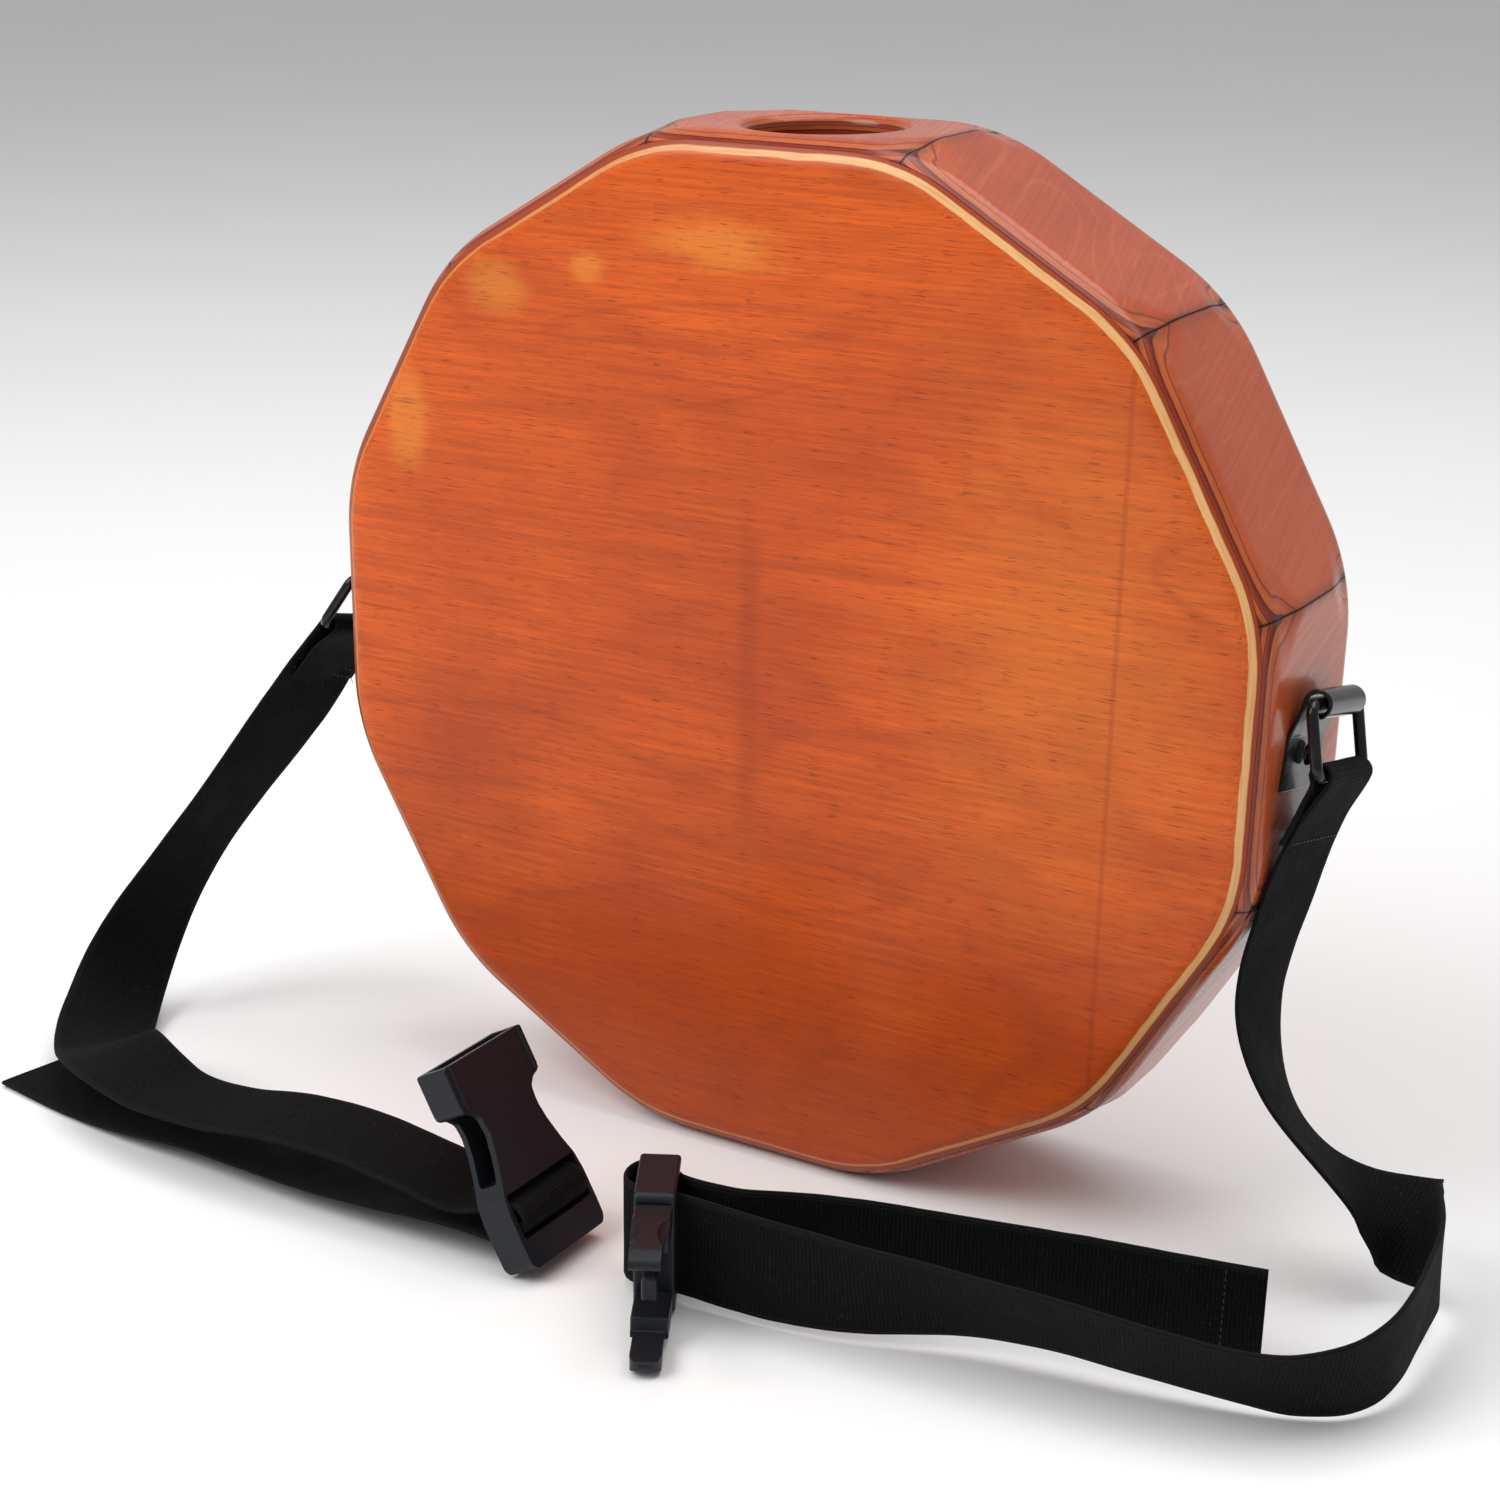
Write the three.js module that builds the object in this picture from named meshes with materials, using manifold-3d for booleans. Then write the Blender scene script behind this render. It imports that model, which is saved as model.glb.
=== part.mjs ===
// Twelve-sided travel cajon: a shallow plywood drum with a sound hole in its top stave,
// a strap ring on each side and two webbing straps that end in a side-release buckle.
// Millimetres. +X right, +Y back, +Z up. Origin at the centre of the bottom stave's rest face.
import * as THREE from 'three';
import * as BufferGeometryUtils from 'three/addons/utils/BufferGeometryUtils.js';
import Module from 'manifold-3d';

const wasm = await Module();
wasm.setup();

// Drum shell
const SIDES = 12;
const ACROSS_FLATS = 370;
const DEPTH = 80;
const STAVE = 12;
const PLATE = 3;
const GLUE = 0.3;
const RIM = 11;
const EDGE_CORNER = 9;
const FACE_CORNER = 78;
const CORNER_STEPS = 5;
const HOLE_R = 27;
const HOLE_LIP = 4;

// Webbing
const WEB = 38;
const WEB_T = 1.6;

// Strap brackets and rings
const SHEET = 1.5;
const CURL_R = 3.4;
const CURL_OUT = 8.2;
const BRACKET_W = WEB - 4;
const FOOT_LOW = -30;
const SCREW_V = -18;
const SCREW_R = 2;
const SCREW_HEAD = 4;
const WIRE = 2;
const RING_HALF = WEB / 2 + 3.6;
const RING_DROP = 23;
const RIGHT_MOUNT = { side: 1, rise: 201 / 370, tilt: 12.3, swing: 14, lie: -0.44 };
const LEFT_MOUNT = { side: -1, rise: 183.5 / 370, tilt: 14, swing: 31, lie: 0.6 };

// Buckle halves
const BUCKLE_T = 13.5;
const BUCKLE_W = WEB + 6.6;
const SOCKET_L = 76;
const SOCKET_LEAN = 28.7;
const SLOT_LOW = 9;
const SLOT_HIGH = 27.4;
const BAR_R = 2.6;
const PRONG_W = WEB + 7;
const PRONG_T = 14;
const PRONG_TURN = -61.6;

// The straps' rows are drawn for a drum of this size, with webbing this wide
const DRAWN_FLATS = 370;
const DRAWN_DEPTH = 80;
const DRAWN_WEB = 38;
const SPREAD = ACROSS_FLATS / DRAWN_FLATS;
const FORWARD = (DEPTH - DRAWN_DEPTH) / 2;
const SOCKET_FOOT = [-22 * SPREAD, -142.3 - FORWARD, 0.4];
const PRONG_BAR = [21.1 * SPREAD, -134.9 - FORWARD];

const APOTHEM = ACROSS_FLATS / 2;
const STEP = (2 * Math.PI) / SIDES;
const DEG = Math.PI / 180;

const looks = {
  face: { color: 0xc86a2d, roughness: 0.42, metalness: 0 },
  stave: { color: 0xb4502e, roughness: 0.35, metalness: 0 },
  steel: { color: 0x141416, roughness: 0.22, metalness: 0.9 },
  webbing: { color: 0x0e0f10, roughness: 0.9, metalness: 0 },
  plastic: { color: 0x17171a, roughness: 0.5, metalness: 0 },
};

const drum = new THREE.Group();

/** Puts a finished geometry into the drum as a named sub-part. */
function place(name, geometry, look, parent = drum) {
  const mesh = new THREE.Mesh(geometry, new THREE.MeshStandardMaterial(looks[look]));
  mesh.name = name;
  parent.add(mesh);
  return mesh;
}

/** Turns a closed geometry into a solid. */
function solid(geometry) {
  const bare = new THREE.BufferGeometry();
  bare.setAttribute('position', geometry.getAttribute('position').clone());
  if (geometry.index) bare.setIndex(geometry.index.clone());
  const merged = BufferGeometryUtils.mergeVertices(bare, 1e-4);
  return new wasm.Manifold(new wasm.Mesh({
    numProp: 3,
    vertProperties: new Float32Array(merged.getAttribute('position').array),
    triVerts: new Uint32Array(merged.index.array),
  }));
}

/** Turns a solid back into a geometry. */
function geometryOf(body) {
  const mesh = body.getMesh();
  const geometry = new THREE.BufferGeometry();
  geometry.setAttribute('position', new THREE.BufferAttribute(new Float32Array(mesh.vertProperties), 3));
  geometry.setIndex(new THREE.BufferAttribute(new Uint32Array(mesh.triVerts), 1));
  return geometry;
}

/** Skins a row of closed sections of equal length and caps both ends. */
function loft(sections) {
  const count = sections[0].length;
  const positions = sections.flat().flatMap((p) => [p.x, p.y, p.z]);
  const index = [];
  for (let row = 0; row + 1 < sections.length; row += 1) {
    for (let i = 0; i < count; i += 1) {
      const a = row * count + i;
      const b = row * count + ((i + 1) % count);
      index.push(a, b, b + count, a, b + count, a + count);
    }
  }
  const last = (sections.length - 1) * count;
  for (let i = 1; i + 1 < count; i += 1) {
    index.push(0, i + 1, i, last, last + i, last + i + 1);
  }
  const geometry = new THREE.BufferGeometry();
  geometry.setAttribute('position', new THREE.Float32BufferAttribute(positions, 3));
  geometry.setIndex(index);
  return geometry;
}

/** Extrudes an outline of [across, up] points by a thickness. */
function plateOf(points, thickness) {
  const shape = new THREE.Shape(points.map(([x, y]) => new THREE.Vector2(x, y)));
  return new THREE.ExtrudeGeometry(shape, { depth: thickness, bevelEnabled: false });
}

/** Gives a rectangle's corners, rounded in three steps. */
function rounded(x0, y0, x1, y1, r) {
  const points = [];
  const centres = [[x1 - r, y0 + r, -90], [x1 - r, y1 - r, 0], [x0 + r, y1 - r, 90], [x0 + r, y0 + r, 180]];
  for (const [cx, cy, start] of centres) {
    for (let i = 0; i <= 3; i += 1) {
      const angle = (start + 30 * i) * DEG;
      points.push([cx + r * Math.cos(angle), cy + r * Math.sin(angle)]);
    }
  }
  return points;
}

// ---------------------------------------------------------------- drum shell

/** One ring of the shell's outline at a depth, from its flats' distance and corner radius. */
function outline(y, apothem, corner) {
  const reach = (apothem - corner) / Math.cos(STEP / 2);
  const points = [];
  for (let side = 0; side < SIDES; side += 1) {
    const middle = Math.PI / 2 - STEP * (side + 0.5);
    for (let i = 0; i < CORNER_STEPS; i += 1) {
      const angle = middle + STEP / 2 - (STEP * i) / (CORNER_STEPS - 1);
      const x = reach * Math.cos(middle) + corner * Math.cos(angle);
      const z = reach * Math.sin(middle) + corner * Math.sin(angle);
      points.push(new THREE.Vector3(x, y, z + APOTHEM));
    }
  }
  return points;
}

/** The outline at a distance inside the nearer face: a round-over, then sharper corners. */
function shellRing(y) {
  const inset = DEPTH / 2 - Math.abs(y);
  const rise = Math.max(RIM - inset, 0);
  const drop = RIM - Math.sqrt(RIM * RIM - rise * rise);
  const blend = THREE.MathUtils.smoothstep(inset, RIM, 2.6 * RIM);
  const corner = FACE_CORNER + (EDGE_CORNER - FACE_CORNER) * blend;
  return outline(y, APOTHEM - drop, corner - drop);
}

/** The shell's outer shape between two depths. */
function shellSlice(depths) {
  return loft(depths.map(shellRing));
}

/** Puts a flat extrusion's outline into the X-Z plane, from y0 towards the back. */
function upright(geometry, y0, thickness) {
  return geometry.rotateX(Math.PI / 2).translate(0, y0 + thickness, 0);
}

/** The wedge that one stave is cut from, its mitres a glue line short of the next. */
function wedge(side) {
  const inner = APOTHEM - STAVE;
  const outer = APOTHEM + 20;
  const half = (r) => r * Math.tan(STEP / 2) - GLUE / 2 / Math.cos(STEP / 2);
  const corners = [[-half(inner), inner], [half(inner), inner], [half(outer), outer], [-half(outer), outer]];
  const geometry = upright(plateOf(corners, DEPTH), -DEPTH / 2, DEPTH);
  return solid(geometry.rotateY(STEP * side).translate(0, 0, APOTHEM));
}

/** A spool that cuts the sound hole with a rounded lip. */
function holeCutter() {
  const profile = [new THREE.Vector2(0, -STAVE - 2), new THREE.Vector2(HOLE_R, -STAVE - 2)];
  for (let i = 0; i <= 3; i += 1) {
    const angle = (30 * i) * DEG;
    const x = HOLE_R + HOLE_LIP * (1 - Math.cos(angle));
    profile.push(new THREE.Vector2(x, -HOLE_LIP + HOLE_LIP * Math.sin(angle)));
  }
  profile.push(new THREE.Vector2(HOLE_R + HOLE_LIP, 2), new THREE.Vector2(0, 2));
  const spool = new THREE.LatheGeometry(profile, 32).rotateX(Math.PI / 2);
  return solid(spool.translate(0, 0, ACROSS_FLATS));
}

/** Builds the two plates and the twelve staves. */
function buildShell() {
  const face = DEPTH / 2;
  const seat = face - PLATE - GLUE;
  place('front_plate', shellSlice([-face, -face + 1.2, -face + PLATE]), 'face');
  place('back_plate', shellSlice([face - PLATE, face - 1.2, face]), 'face');
  const steps = [seat, face - 5.2, face - 7.8, face - RIM, face - 17, face - 23, face - 2.6 * RIM];
  const depths = [...steps.map((y) => -y), ...[...steps].reverse()];
  const shell = solid(shellSlice(depths));
  for (let side = 0; side < SIDES; side += 1) {
    let stave = shell.intersect(wedge(side));
    if (side === 0) stave = stave.subtract(holeCutter());
    if (side === 3) stave = stave.subtract(pilotHole(RIGHT_MOUNT));
    if (side === 9) stave = stave.subtract(pilotHole(LEFT_MOUNT));
    place(`stave_${String(side + 1).padStart(2, '0')}`, geometryOf(stave), 'stave');
  }
}

// ------------------------------------------------------- brackets and rings

/**
 * The frame of a strap bracket: its X points away from the stave, its Y runs along the curl
 * and its Z up the plate, with the origin on the stave under the curl.
 */
function mountFrame({ side, rise, tilt }) {
  const frame = new THREE.Matrix4().makeTranslation(side * APOTHEM, 0, rise * ACROSS_FLATS);
  frame.multiply(new THREE.Matrix4().makeRotationX(-tilt * DEG));
  if (side < 0) frame.multiply(new THREE.Matrix4().makeRotationZ(Math.PI));
  return frame;
}

/** The blind hole that a bracket's screw bites into. */
function pilotHole(mount) {
  const hole = new THREE.CylinderGeometry(SCREW_R + 0.3, SCREW_R + 0.3, 22, 12).rotateZ(Math.PI / 2);
  hole.translate(0, 0, SCREW_V).applyMatrix4(mountFrame(mount));
  return solid(hole);
}

/** Centre line of the bracket's sheet: foot on the stave, a kick outwards, then the curl. */
function bracketLine() {
  const line = [[1.05, FOOT_LOW], [1.05, -12], [CURL_OUT - CURL_R - 0.7, -3.2]];
  for (let angle = 180; angle >= -110; angle -= 29) {
    line.push([CURL_OUT + CURL_R * Math.cos(angle * DEG), CURL_R * Math.sin(angle * DEG)]);
  }
  return line;
}

/** Thickens a centre line into a closed outline. */
function thicken(line, thickness) {
  const left = [];
  const right = [];
  line.forEach(([x, y], i) => {
    const [ax, ay] = line[Math.max(i - 1, 0)];
    const [bx, by] = line[Math.min(i + 1, line.length - 1)];
    const length = Math.hypot(bx - ax, by - ay);
    const nx = (-(by - ay) / length) * (thickness / 2);
    const ny = ((bx - ax) / length) * (thickness / 2);
    left.push([x + nx, y + ny]);
    right.unshift([x - nx, y - ny]);
  });
  return [...right, ...left];
}

/** A folded steel bracket with its screw hole. */
function bracketGeometry() {
  const sheet = plateOf(thicken(bracketLine(), SHEET), BRACKET_W);
  sheet.rotateX(Math.PI / 2).translate(0, BRACKET_W / 2, 0);
  const bore = new THREE.CylinderGeometry(SCREW_R + 0.3, SCREW_R + 0.3, 8, 12);
  bore.rotateZ(Math.PI / 2).translate(0, 0, SCREW_V);
  return geometryOf(solid(sheet).subtract(solid(bore)));
}

/** A pan-head screw that lies along X, its head outside the plate. */
function screwGeometry() {
  const under = 1.05 + SHEET / 2 + 0.3;
  const profile = [
    new THREE.Vector2(0, -9),
    new THREE.Vector2(SCREW_R - 0.6, -7),
    new THREE.Vector2(SCREW_R, -6),
    new THREE.Vector2(SCREW_R, under),
    new THREE.Vector2(SCREW_HEAD, under),
    new THREE.Vector2(SCREW_HEAD - 0.3, under + 1.1),
    new THREE.Vector2(SCREW_HEAD - 1.6, under + 2),
    new THREE.Vector2(0, under + 2.3),
  ];
  return new THREE.LatheGeometry(profile, 12).rotateZ(-Math.PI / 2).translate(0, 0, SCREW_V);
}

/** A rectangular wire ring that hangs from the origin, its ends meeting inside the curl. */
function ringGeometry() {
  const bend = 3.4;
  const half = RING_HALF;
  const drop = -RING_DROP;
  const corner = (cy, cz, start) => [0, 30, 60, 90].map((turn) => {
    const angle = (start + turn) * DEG;
    return [cy + bend * Math.cos(angle), cz + bend * Math.sin(angle)];
  });
  const points = [
    [-0.3, 0],
    [-10, 0],
    ...corner(-half + bend, -bend, 90),
    [-half, drop / 2],
    ...corner(-half + bend, drop + bend, 180),
    [0, drop],
    ...corner(half - bend, drop + bend, 270),
    [half, drop / 2],
    ...corner(half - bend, -bend, 0),
    [10, 0],
    [0.3, 0],
  ];
  const path = new THREE.CurvePath();
  for (let i = 0; i + 1 < points.length; i += 1) {
    const [y0, z0] = points[i];
    const [y1, z1] = points[i + 1];
    path.add(new THREE.LineCurve3(new THREE.Vector3(0, y0, z0), new THREE.Vector3(0, y1, z1)));
  }
  const section = new THREE.Shape();
  section.absarc(0, 0, WIRE, 0, 2 * Math.PI, false);
  return new THREE.ExtrudeGeometry(section, {
    steps: 52, curveSegments: 5, bevelEnabled: false, extrudePath: path,
  });
}

/** Builds one side's bracket, screw and ring. */
function buildMount(name, mount) {
  const frame = new THREE.Group();
  frame.applyMatrix4(mountFrame(mount));
  drum.add(frame);
  place(`bracket_${name}`, bracketGeometry(), 'steel', frame);
  place(`bracket_screw_${name}`, screwGeometry(), 'steel', frame);
  const hinge = new THREE.Group();
  hinge.position.set(CURL_OUT, 0, 0);
  hinge.rotation.y = -mount.swing * DEG;
  frame.add(hinge);
  place(`ring_${name}`, ringGeometry(), 'steel', hinge);
}

// -------------------------------------------------------------------- straps

// Each row is [x, y, z, across x, across y, across z]: a point on the strap's middle line and
// the way that its width runs there.
const RIGHT_RUN = [
  [194.5, -6.6, 162, 0.1, 0.98, -0.18],
  [189.5, -9, 146, 0.15, 0.98, -0.14],
  [186, -10.5, 130, 0.16, 0.98, -0.08],
  [182.5, -11.5, 113, 0.14, 0.99, -0.07],
  [181.6, -12.5, 97, 0.07, 1, -0.06],
  [184.6, -13.4, 81, -0.07, 0.99, -0.08],
  [191, -13.8, 66, -0.22, 0.97, -0.14],
  [200.4, -13, 53, -0.34, 0.91, -0.22],
  [212.3, -10.6, 41.4, -0.4, 0.9, -0.16],
  [225.5, -7, 31.6, -0.44, 0.88, 0.1],
  [239, -6, 26, -0.38, 0.58, 0.7],
  [249, -12.5, 26, -0.16, 0.14, 0.98],
  [255, -26, 26.6, 0.02, -0.05, 1],
  [259, -56, 25, 0.1, -0.09, 0.99],
  [260, -73, 23.4, 0.08, -0.14, 0.99],
  [258, -88, 21.4, 0.1, -0.21, 0.97],
  [251, -101, 19.4, 0.2, -0.33, 0.92],
  [239, -110, 18, 0.26, -0.47, 0.84],
  [224.6, -116, 18.7, 0.25, -0.56, 0.79],
  [194, -123, 21.6, 0.17, -0.55, 0.82],
  [162, -127.5, 24, 0.11, -0.55, 0.82],
  [131, -132.5, 24.2, 0.05, -0.5, 0.86],
  [115, -136, 23.4, 0, -0.35, 0.94],
  [99, -139.5, 22.5, 0, -0.18, 0.98],
  [67, -143.6, 22, 0, 0, 1],
  [42, -145.2, 22.8, 0, 0, 1],
  [36, -145.3, 22.8, 0, 0, 1],
  [30, -145.2, 22.8, 0, 0, 1],
];

const LEFT_RUN = [
  [-218.6, -12, 147, 0.08, 0.93, -0.33],
  [-225.5, -16, 135, 0.15, 0.91, -0.38],
  [-240, -23, 112.8, 0.1, 0.92, -0.37],
  [-254.5, -31, 90.7, 0.01, 0.93, -0.37],
  [-268, -40, 68.7, 0, 0.91, -0.42],
  [-278, -52, 46, 0.12, 0.84, -0.53],
  [-281, -59, 34.8, 0.27, 0.77, -0.57],
  [-281.7, -67.3, 24.6, 0.46, 0.68, -0.57],
  [-279.5, -77, 16.4, 0.62, 0.59, -0.52],
  [-274.3, -88, 11.4, 0.72, 0.53, -0.43],
  [-267, -100, 9.6, 0.77, 0.54, -0.34],
  [-258, -111, 10.4, 0.75, 0.63, -0.17],
  [-248.7, -120.4, 14, 0.69, 0.72, 0],
  [-239.3, -128.6, 19.4, 0.58, 0.8, 0.15],
  [-228.9, -136, 24, 0.44, 0.86, 0.24],
  [-216.9, -142, 25.2, 0.3, 0.93, 0.2],
  [-202.9, -146, 23.4, 0.22, 0.98, 0.02],
  [-188.6, -148.8, 21.6, 0.14, 0.99, -0.07],
  [-160, -150.6, 23, 0, 1, 0],
  [-130, -149.6, 27, -0.06, 1, 0.02],
  [-100, -147.7, 27, -0.07, 1, 0],
  [-70, -146, 22.6, -0.06, 1, 0],
  [-48, -144.6, 18.8, -0.03, 1, -0.04],
];

const LEFT_TAIL = [
  [-41, -143, 10, 0, 0.98, -0.12],
  [-56, -144, 9.2, -0.02, 0.98, -0.18],
  [-85, -145, 6.6, -0.01, 0.98, -0.19],
  [-114, -145.3, 5.4, 0.01, 0.98, -0.18],
  [-143, -144.6, 5.4, 0.04, 0.98, -0.18],
  [-173, -143, 5.2, 0.07, 0.98, -0.17],
  [-202, -140.8, 3.2, 0.1, 0.99, -0.06],
  [-231, -137.2, 1.6, 0.16, 0.99, 0],
  [-260, -132.4, 1.4, 0.15, 0.99, 0],
  [-274, -130, 1.4, 0.08, 1, 0],
];

const RIGHT_TAIL = [
  [50, -129.6, 21.6, 0, 0, 1],
  [66, -120.6, 20.8, 0, 0, 1],
  [85, -112, 20, 0, 0, 1],
  [131, -100.5, 19.8, 0, 0, 1],
  [163, -93, 19.8, 0, 0, 1],
  [190, -88, 19.8, 0, 0, 1],
  [217, -82.4, 19.8, 0, 0, 1],
];

/** Skins a flat strap along its rows, with extra rows between them where it is sampled. */
function strap(rows, between) {
  const middle = new THREE.CatmullRomCurve3(rows.map((r) => new THREE.Vector3(r[0], r[1], r[2])));
  const across = new THREE.CatmullRomCurve3(rows.map((r) => new THREE.Vector3(r[3], r[4], r[5])));
  const count = (rows.length - 1) * between;
  const sections = [];
  for (let i = 0; i <= count; i += 1) {
    const t = i / count;
    const centre = middle.getPoint(t);
    const along = middle.getTangent(t);
    const width = across.getPoint(t);
    width.addScaledVector(along, -along.dot(width)).setLength(WEB / 2);
    const skin = new THREE.Vector3().crossVectors(along, width).setLength(WEB_T / 2);
    sections.push([[1, 1], [-1, 1], [-1, -1], [1, -1]].map(([w, s]) => (
      centre.clone().addScaledVector(width, w).addScaledVector(skin, s))));
  }
  return loft(sections);
}

/** The rows of the sewn end, which lies along the strap, and of its turn over a ring's bar. */
function ringLoop(mount) {
  const frame = mountFrame(mount);
  const hang = mount.swing * DEG;
  const bar = new THREE.Vector3(CURL_OUT + RING_DROP * Math.sin(hang), 0, -RING_DROP * Math.cos(hang));
  const across = new THREE.Vector3(0, mount.side, 0).transformDirection(frame);
  const turn = WIRE + 0.8 + WEB_T / 2;
  const sewn = [[24, 2.7], [17, 3], [10, 3.9]];
  const steps = sewn.map(([down, gap]) => [turn + mount.lie * down - gap, -down]);
  for (const angle of [225, 180, 135, 90, 45, 0]) {
    steps.push([turn * Math.cos(angle * DEG), turn * Math.sin(angle * DEG)]);
  }
  return steps.map(([out, up]) => {
    const point = new THREE.Vector3(bar.x + out, 0, bar.z + up).applyMatrix4(frame);
    return [point.x, point.y, point.z, across.x, across.y, across.z];
  });
}

/** Moves a drawn row to suit the drum's size and the webbing's width. */
function laid([x, y, z, ax, ay, az]) {
  const hung = THREE.MathUtils.smoothstep(z, 40, 150);
  const out = Math.sign(x) * Math.max(FORWARD, 0) * 0.24 * hung;
  const ahead = FORWARD * THREE.MathUtils.smoothstep(-y, 20, 80);
  const lift = (WEB - DRAWN_WEB) / 2;
  return [x * SPREAD + out, y - ahead, z * (1 + (SPREAD - 1) * hung) + lift * az * az, ax, ay, az];
}

/** The rows of the strap's turn over the socket half's bar, in by the top of the slot. */
function socketTurn() {
  const steps = [
    [-2.6, 25.2], [1.6, 24.8], [6, 24.6], [10.6, 24], [14.4, 21.4], [15.4, 17.6], [13.4, 14.2], [9.4, 12.4],
    [5, 11.8], [1.6, 11.8],
  ];
  const lean = SOCKET_LEAN * DEG;
  const [x, y, z] = SOCKET_FOOT;
  return steps.map(([t, l]) => [
    x + t * Math.cos(lean) - l * Math.sin(lean),
    y,
    z + t * Math.sin(lean) + l * Math.cos(lean),
    0, 1, 0,
  ]);
}

/** Turns steps [out of the base, through it] of the prong half into a strap's rows. */
function prongRows(steps) {
  const turn = PRONG_TURN * DEG;
  const [x, y] = PRONG_BAR;
  return steps.map(([u, t]) => [
    x + u * Math.cos(turn) - t * Math.sin(turn),
    y + u * Math.sin(turn) + t * Math.cos(turn),
    PRONG_W / 2 + 0.3,
    0, 0, 1,
  ]);
}

/** Builds both straps, each a long run and the loose tail past its buckle. */
function buildStraps() {
  const loop = prongRows([[11.8, -2.4], [10.6, -7], [7, -10.4], [2, -11.2], [-3, -9.8], [-6.6, -6.8], [-8, -2.8]]);
  const past = prongRows([[-7.9, -1.6], [-6.4, 2.2], [-2.6, 5], [2.4, 7.6]]);
  const over = socketTurn();
  const exit = over.at(-1);
  const under = [exit[0] - 1.6, exit[1], exit[2] - 0.9, 0, 1, 0];
  place('strap_right', strap([...ringLoop(RIGHT_MOUNT), ...RIGHT_RUN.map(laid), ...loop], 2), 'webbing');
  place('strap_left', strap([...ringLoop(LEFT_MOUNT), ...LEFT_RUN.map(laid), ...over], 2), 'webbing');
  place('strap_right_tail', strap([...past, ...RIGHT_TAIL.map(laid)], 2), 'webbing');
  place('strap_left_tail', strap([under, ...LEFT_TAIL.map(laid)], 2), 'webbing');
}

// -------------------------------------------------------------- buckle halves

/** The socket half: an open-ended shell, waisted so that the prongs' pads show at its sides. */
function socketGeometry() {
  const c = BUCKLE_W / 2;
  const side = [
    [c - 2.5, 0], [c - 0.5, 2.5], [c - 0.3, 9], [c - 0.4, 20], [c - 1.4, 27], [c - 4.2, 34], [c - 7, 43],
    [c - 8, 50], [c - 7.4, 55], [c - 4.4, 57.8], [c - 1, 58.6], [c, 60.5], [c, SOCKET_L],
  ];
  const mirrored = [...side].reverse().map(([w, l]) => [-w, l]);
  const block = plateOf([...side, ...mirrored], BUCKLE_T);
  const hollow = new THREE.BoxGeometry(WEB, SOCKET_L, 8.4).translate(0, SOCKET_L / 2 + 31, BUCKLE_T / 2);
  const slot = new THREE.BoxGeometry(WEB + 1.4, SLOT_HIGH - SLOT_LOW, BUCKLE_T + 2);
  slot.translate(0, (SLOT_LOW + SLOT_HIGH) / 2, BUCKLE_T / 2);
  const bar = new THREE.CylinderGeometry(BAR_R, BAR_R, WEB + 3, 10).rotateZ(Math.PI / 2);
  bar.translate(0, 18, 6);
  const body = solid(block).subtract(solid(hollow)).subtract(solid(slot)).add(solid(bar));
  const frame = new THREE.Matrix4().makeBasis(
    new THREE.Vector3(0, 1, 0),
    new THREE.Vector3(0, 0, 1),
    new THREE.Vector3(1, 0, 0),
  );
  return geometryOf(body).applyMatrix4(frame);
}

/** The prong half's base: two rails that hold the webbing bar, and the middle guide. */
function prongBaseGeometry() {
  const c = PRONG_W / 2;
  const block = plateOf(rounded(-7, -c, 25, c, 3), PRONG_T).translate(0, 0, -PRONG_T / 2);
  const gap = new THREE.BoxGeometry(30, WEB + 1.2, PRONG_T + 2).translate(3, 0, 0);
  const bar = new THREE.CylinderGeometry(BAR_R, BAR_R, WEB + 3, 10);
  const guide = new THREE.BoxGeometry(24, 9, 5).translate(36, 0, 0);
  return geometryOf(solid(block).subtract(solid(gap)).add(solid(bar)).add(solid(guide)));
}

/** One flexing prong, a thick arm and a thinner tongue, on the side that the sign gives. */
function prongGeometry(sign) {
  const c = PRONG_W / 2;
  const outline = [
    [25.3, c - 9.5], [25.3, c - 3], [30, c - 2.9], [36, c - 2.1], [44, c - 0.9], [52, c - 0.3], [60, c - 0.5],
    [64.5, c - 2], [66, c - 4], [65.2, c - 5.8], [60, c - 6.1], [46, c - 6], [45, c - 10.5], [38, c - 10.3],
    [30, c - 9.9],
  ].map(([u, w]) => [u, sign * w]);
  return plateOf(outline, 12.6).translate(0, 0, -6.3);
}

/** Builds the two buckle halves where they lie at the straps' ends. */
function buildBuckle() {
  const socket = place('buckle_socket', socketGeometry(), 'plastic');
  socket.position.set(...SOCKET_FOOT);
  socket.rotation.y = -SOCKET_LEAN * DEG;
  const prongs = new THREE.Group();
  prongs.position.set(PRONG_BAR[0], PRONG_BAR[1], PRONG_W / 2 + 0.3);
  prongs.rotation.set(Math.PI / 2, 0, PRONG_TURN * DEG, 'ZYX');
  drum.add(prongs);
  place('buckle_prong_base', prongBaseGeometry(), 'plastic', prongs);
  place('buckle_prong_upper', prongGeometry(1), 'plastic', prongs);
  place('buckle_prong_lower', prongGeometry(-1), 'plastic', prongs);
}

buildShell();
buildMount('right', RIGHT_MOUNT);
buildMount('left', LEFT_MOUNT);
buildStraps();
buildBuckle();

export default drum;
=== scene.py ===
"""Looks of the travel cajon: a twelve-sided plywood drum with strap rings, webbing and a buckle."""

import logging
import math
import random
from collections.abc import Callable, Sequence
from dataclasses import dataclass
from enum import Enum

import bmesh
import bpy
from mathutils import Matrix, Vector, noise


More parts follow.
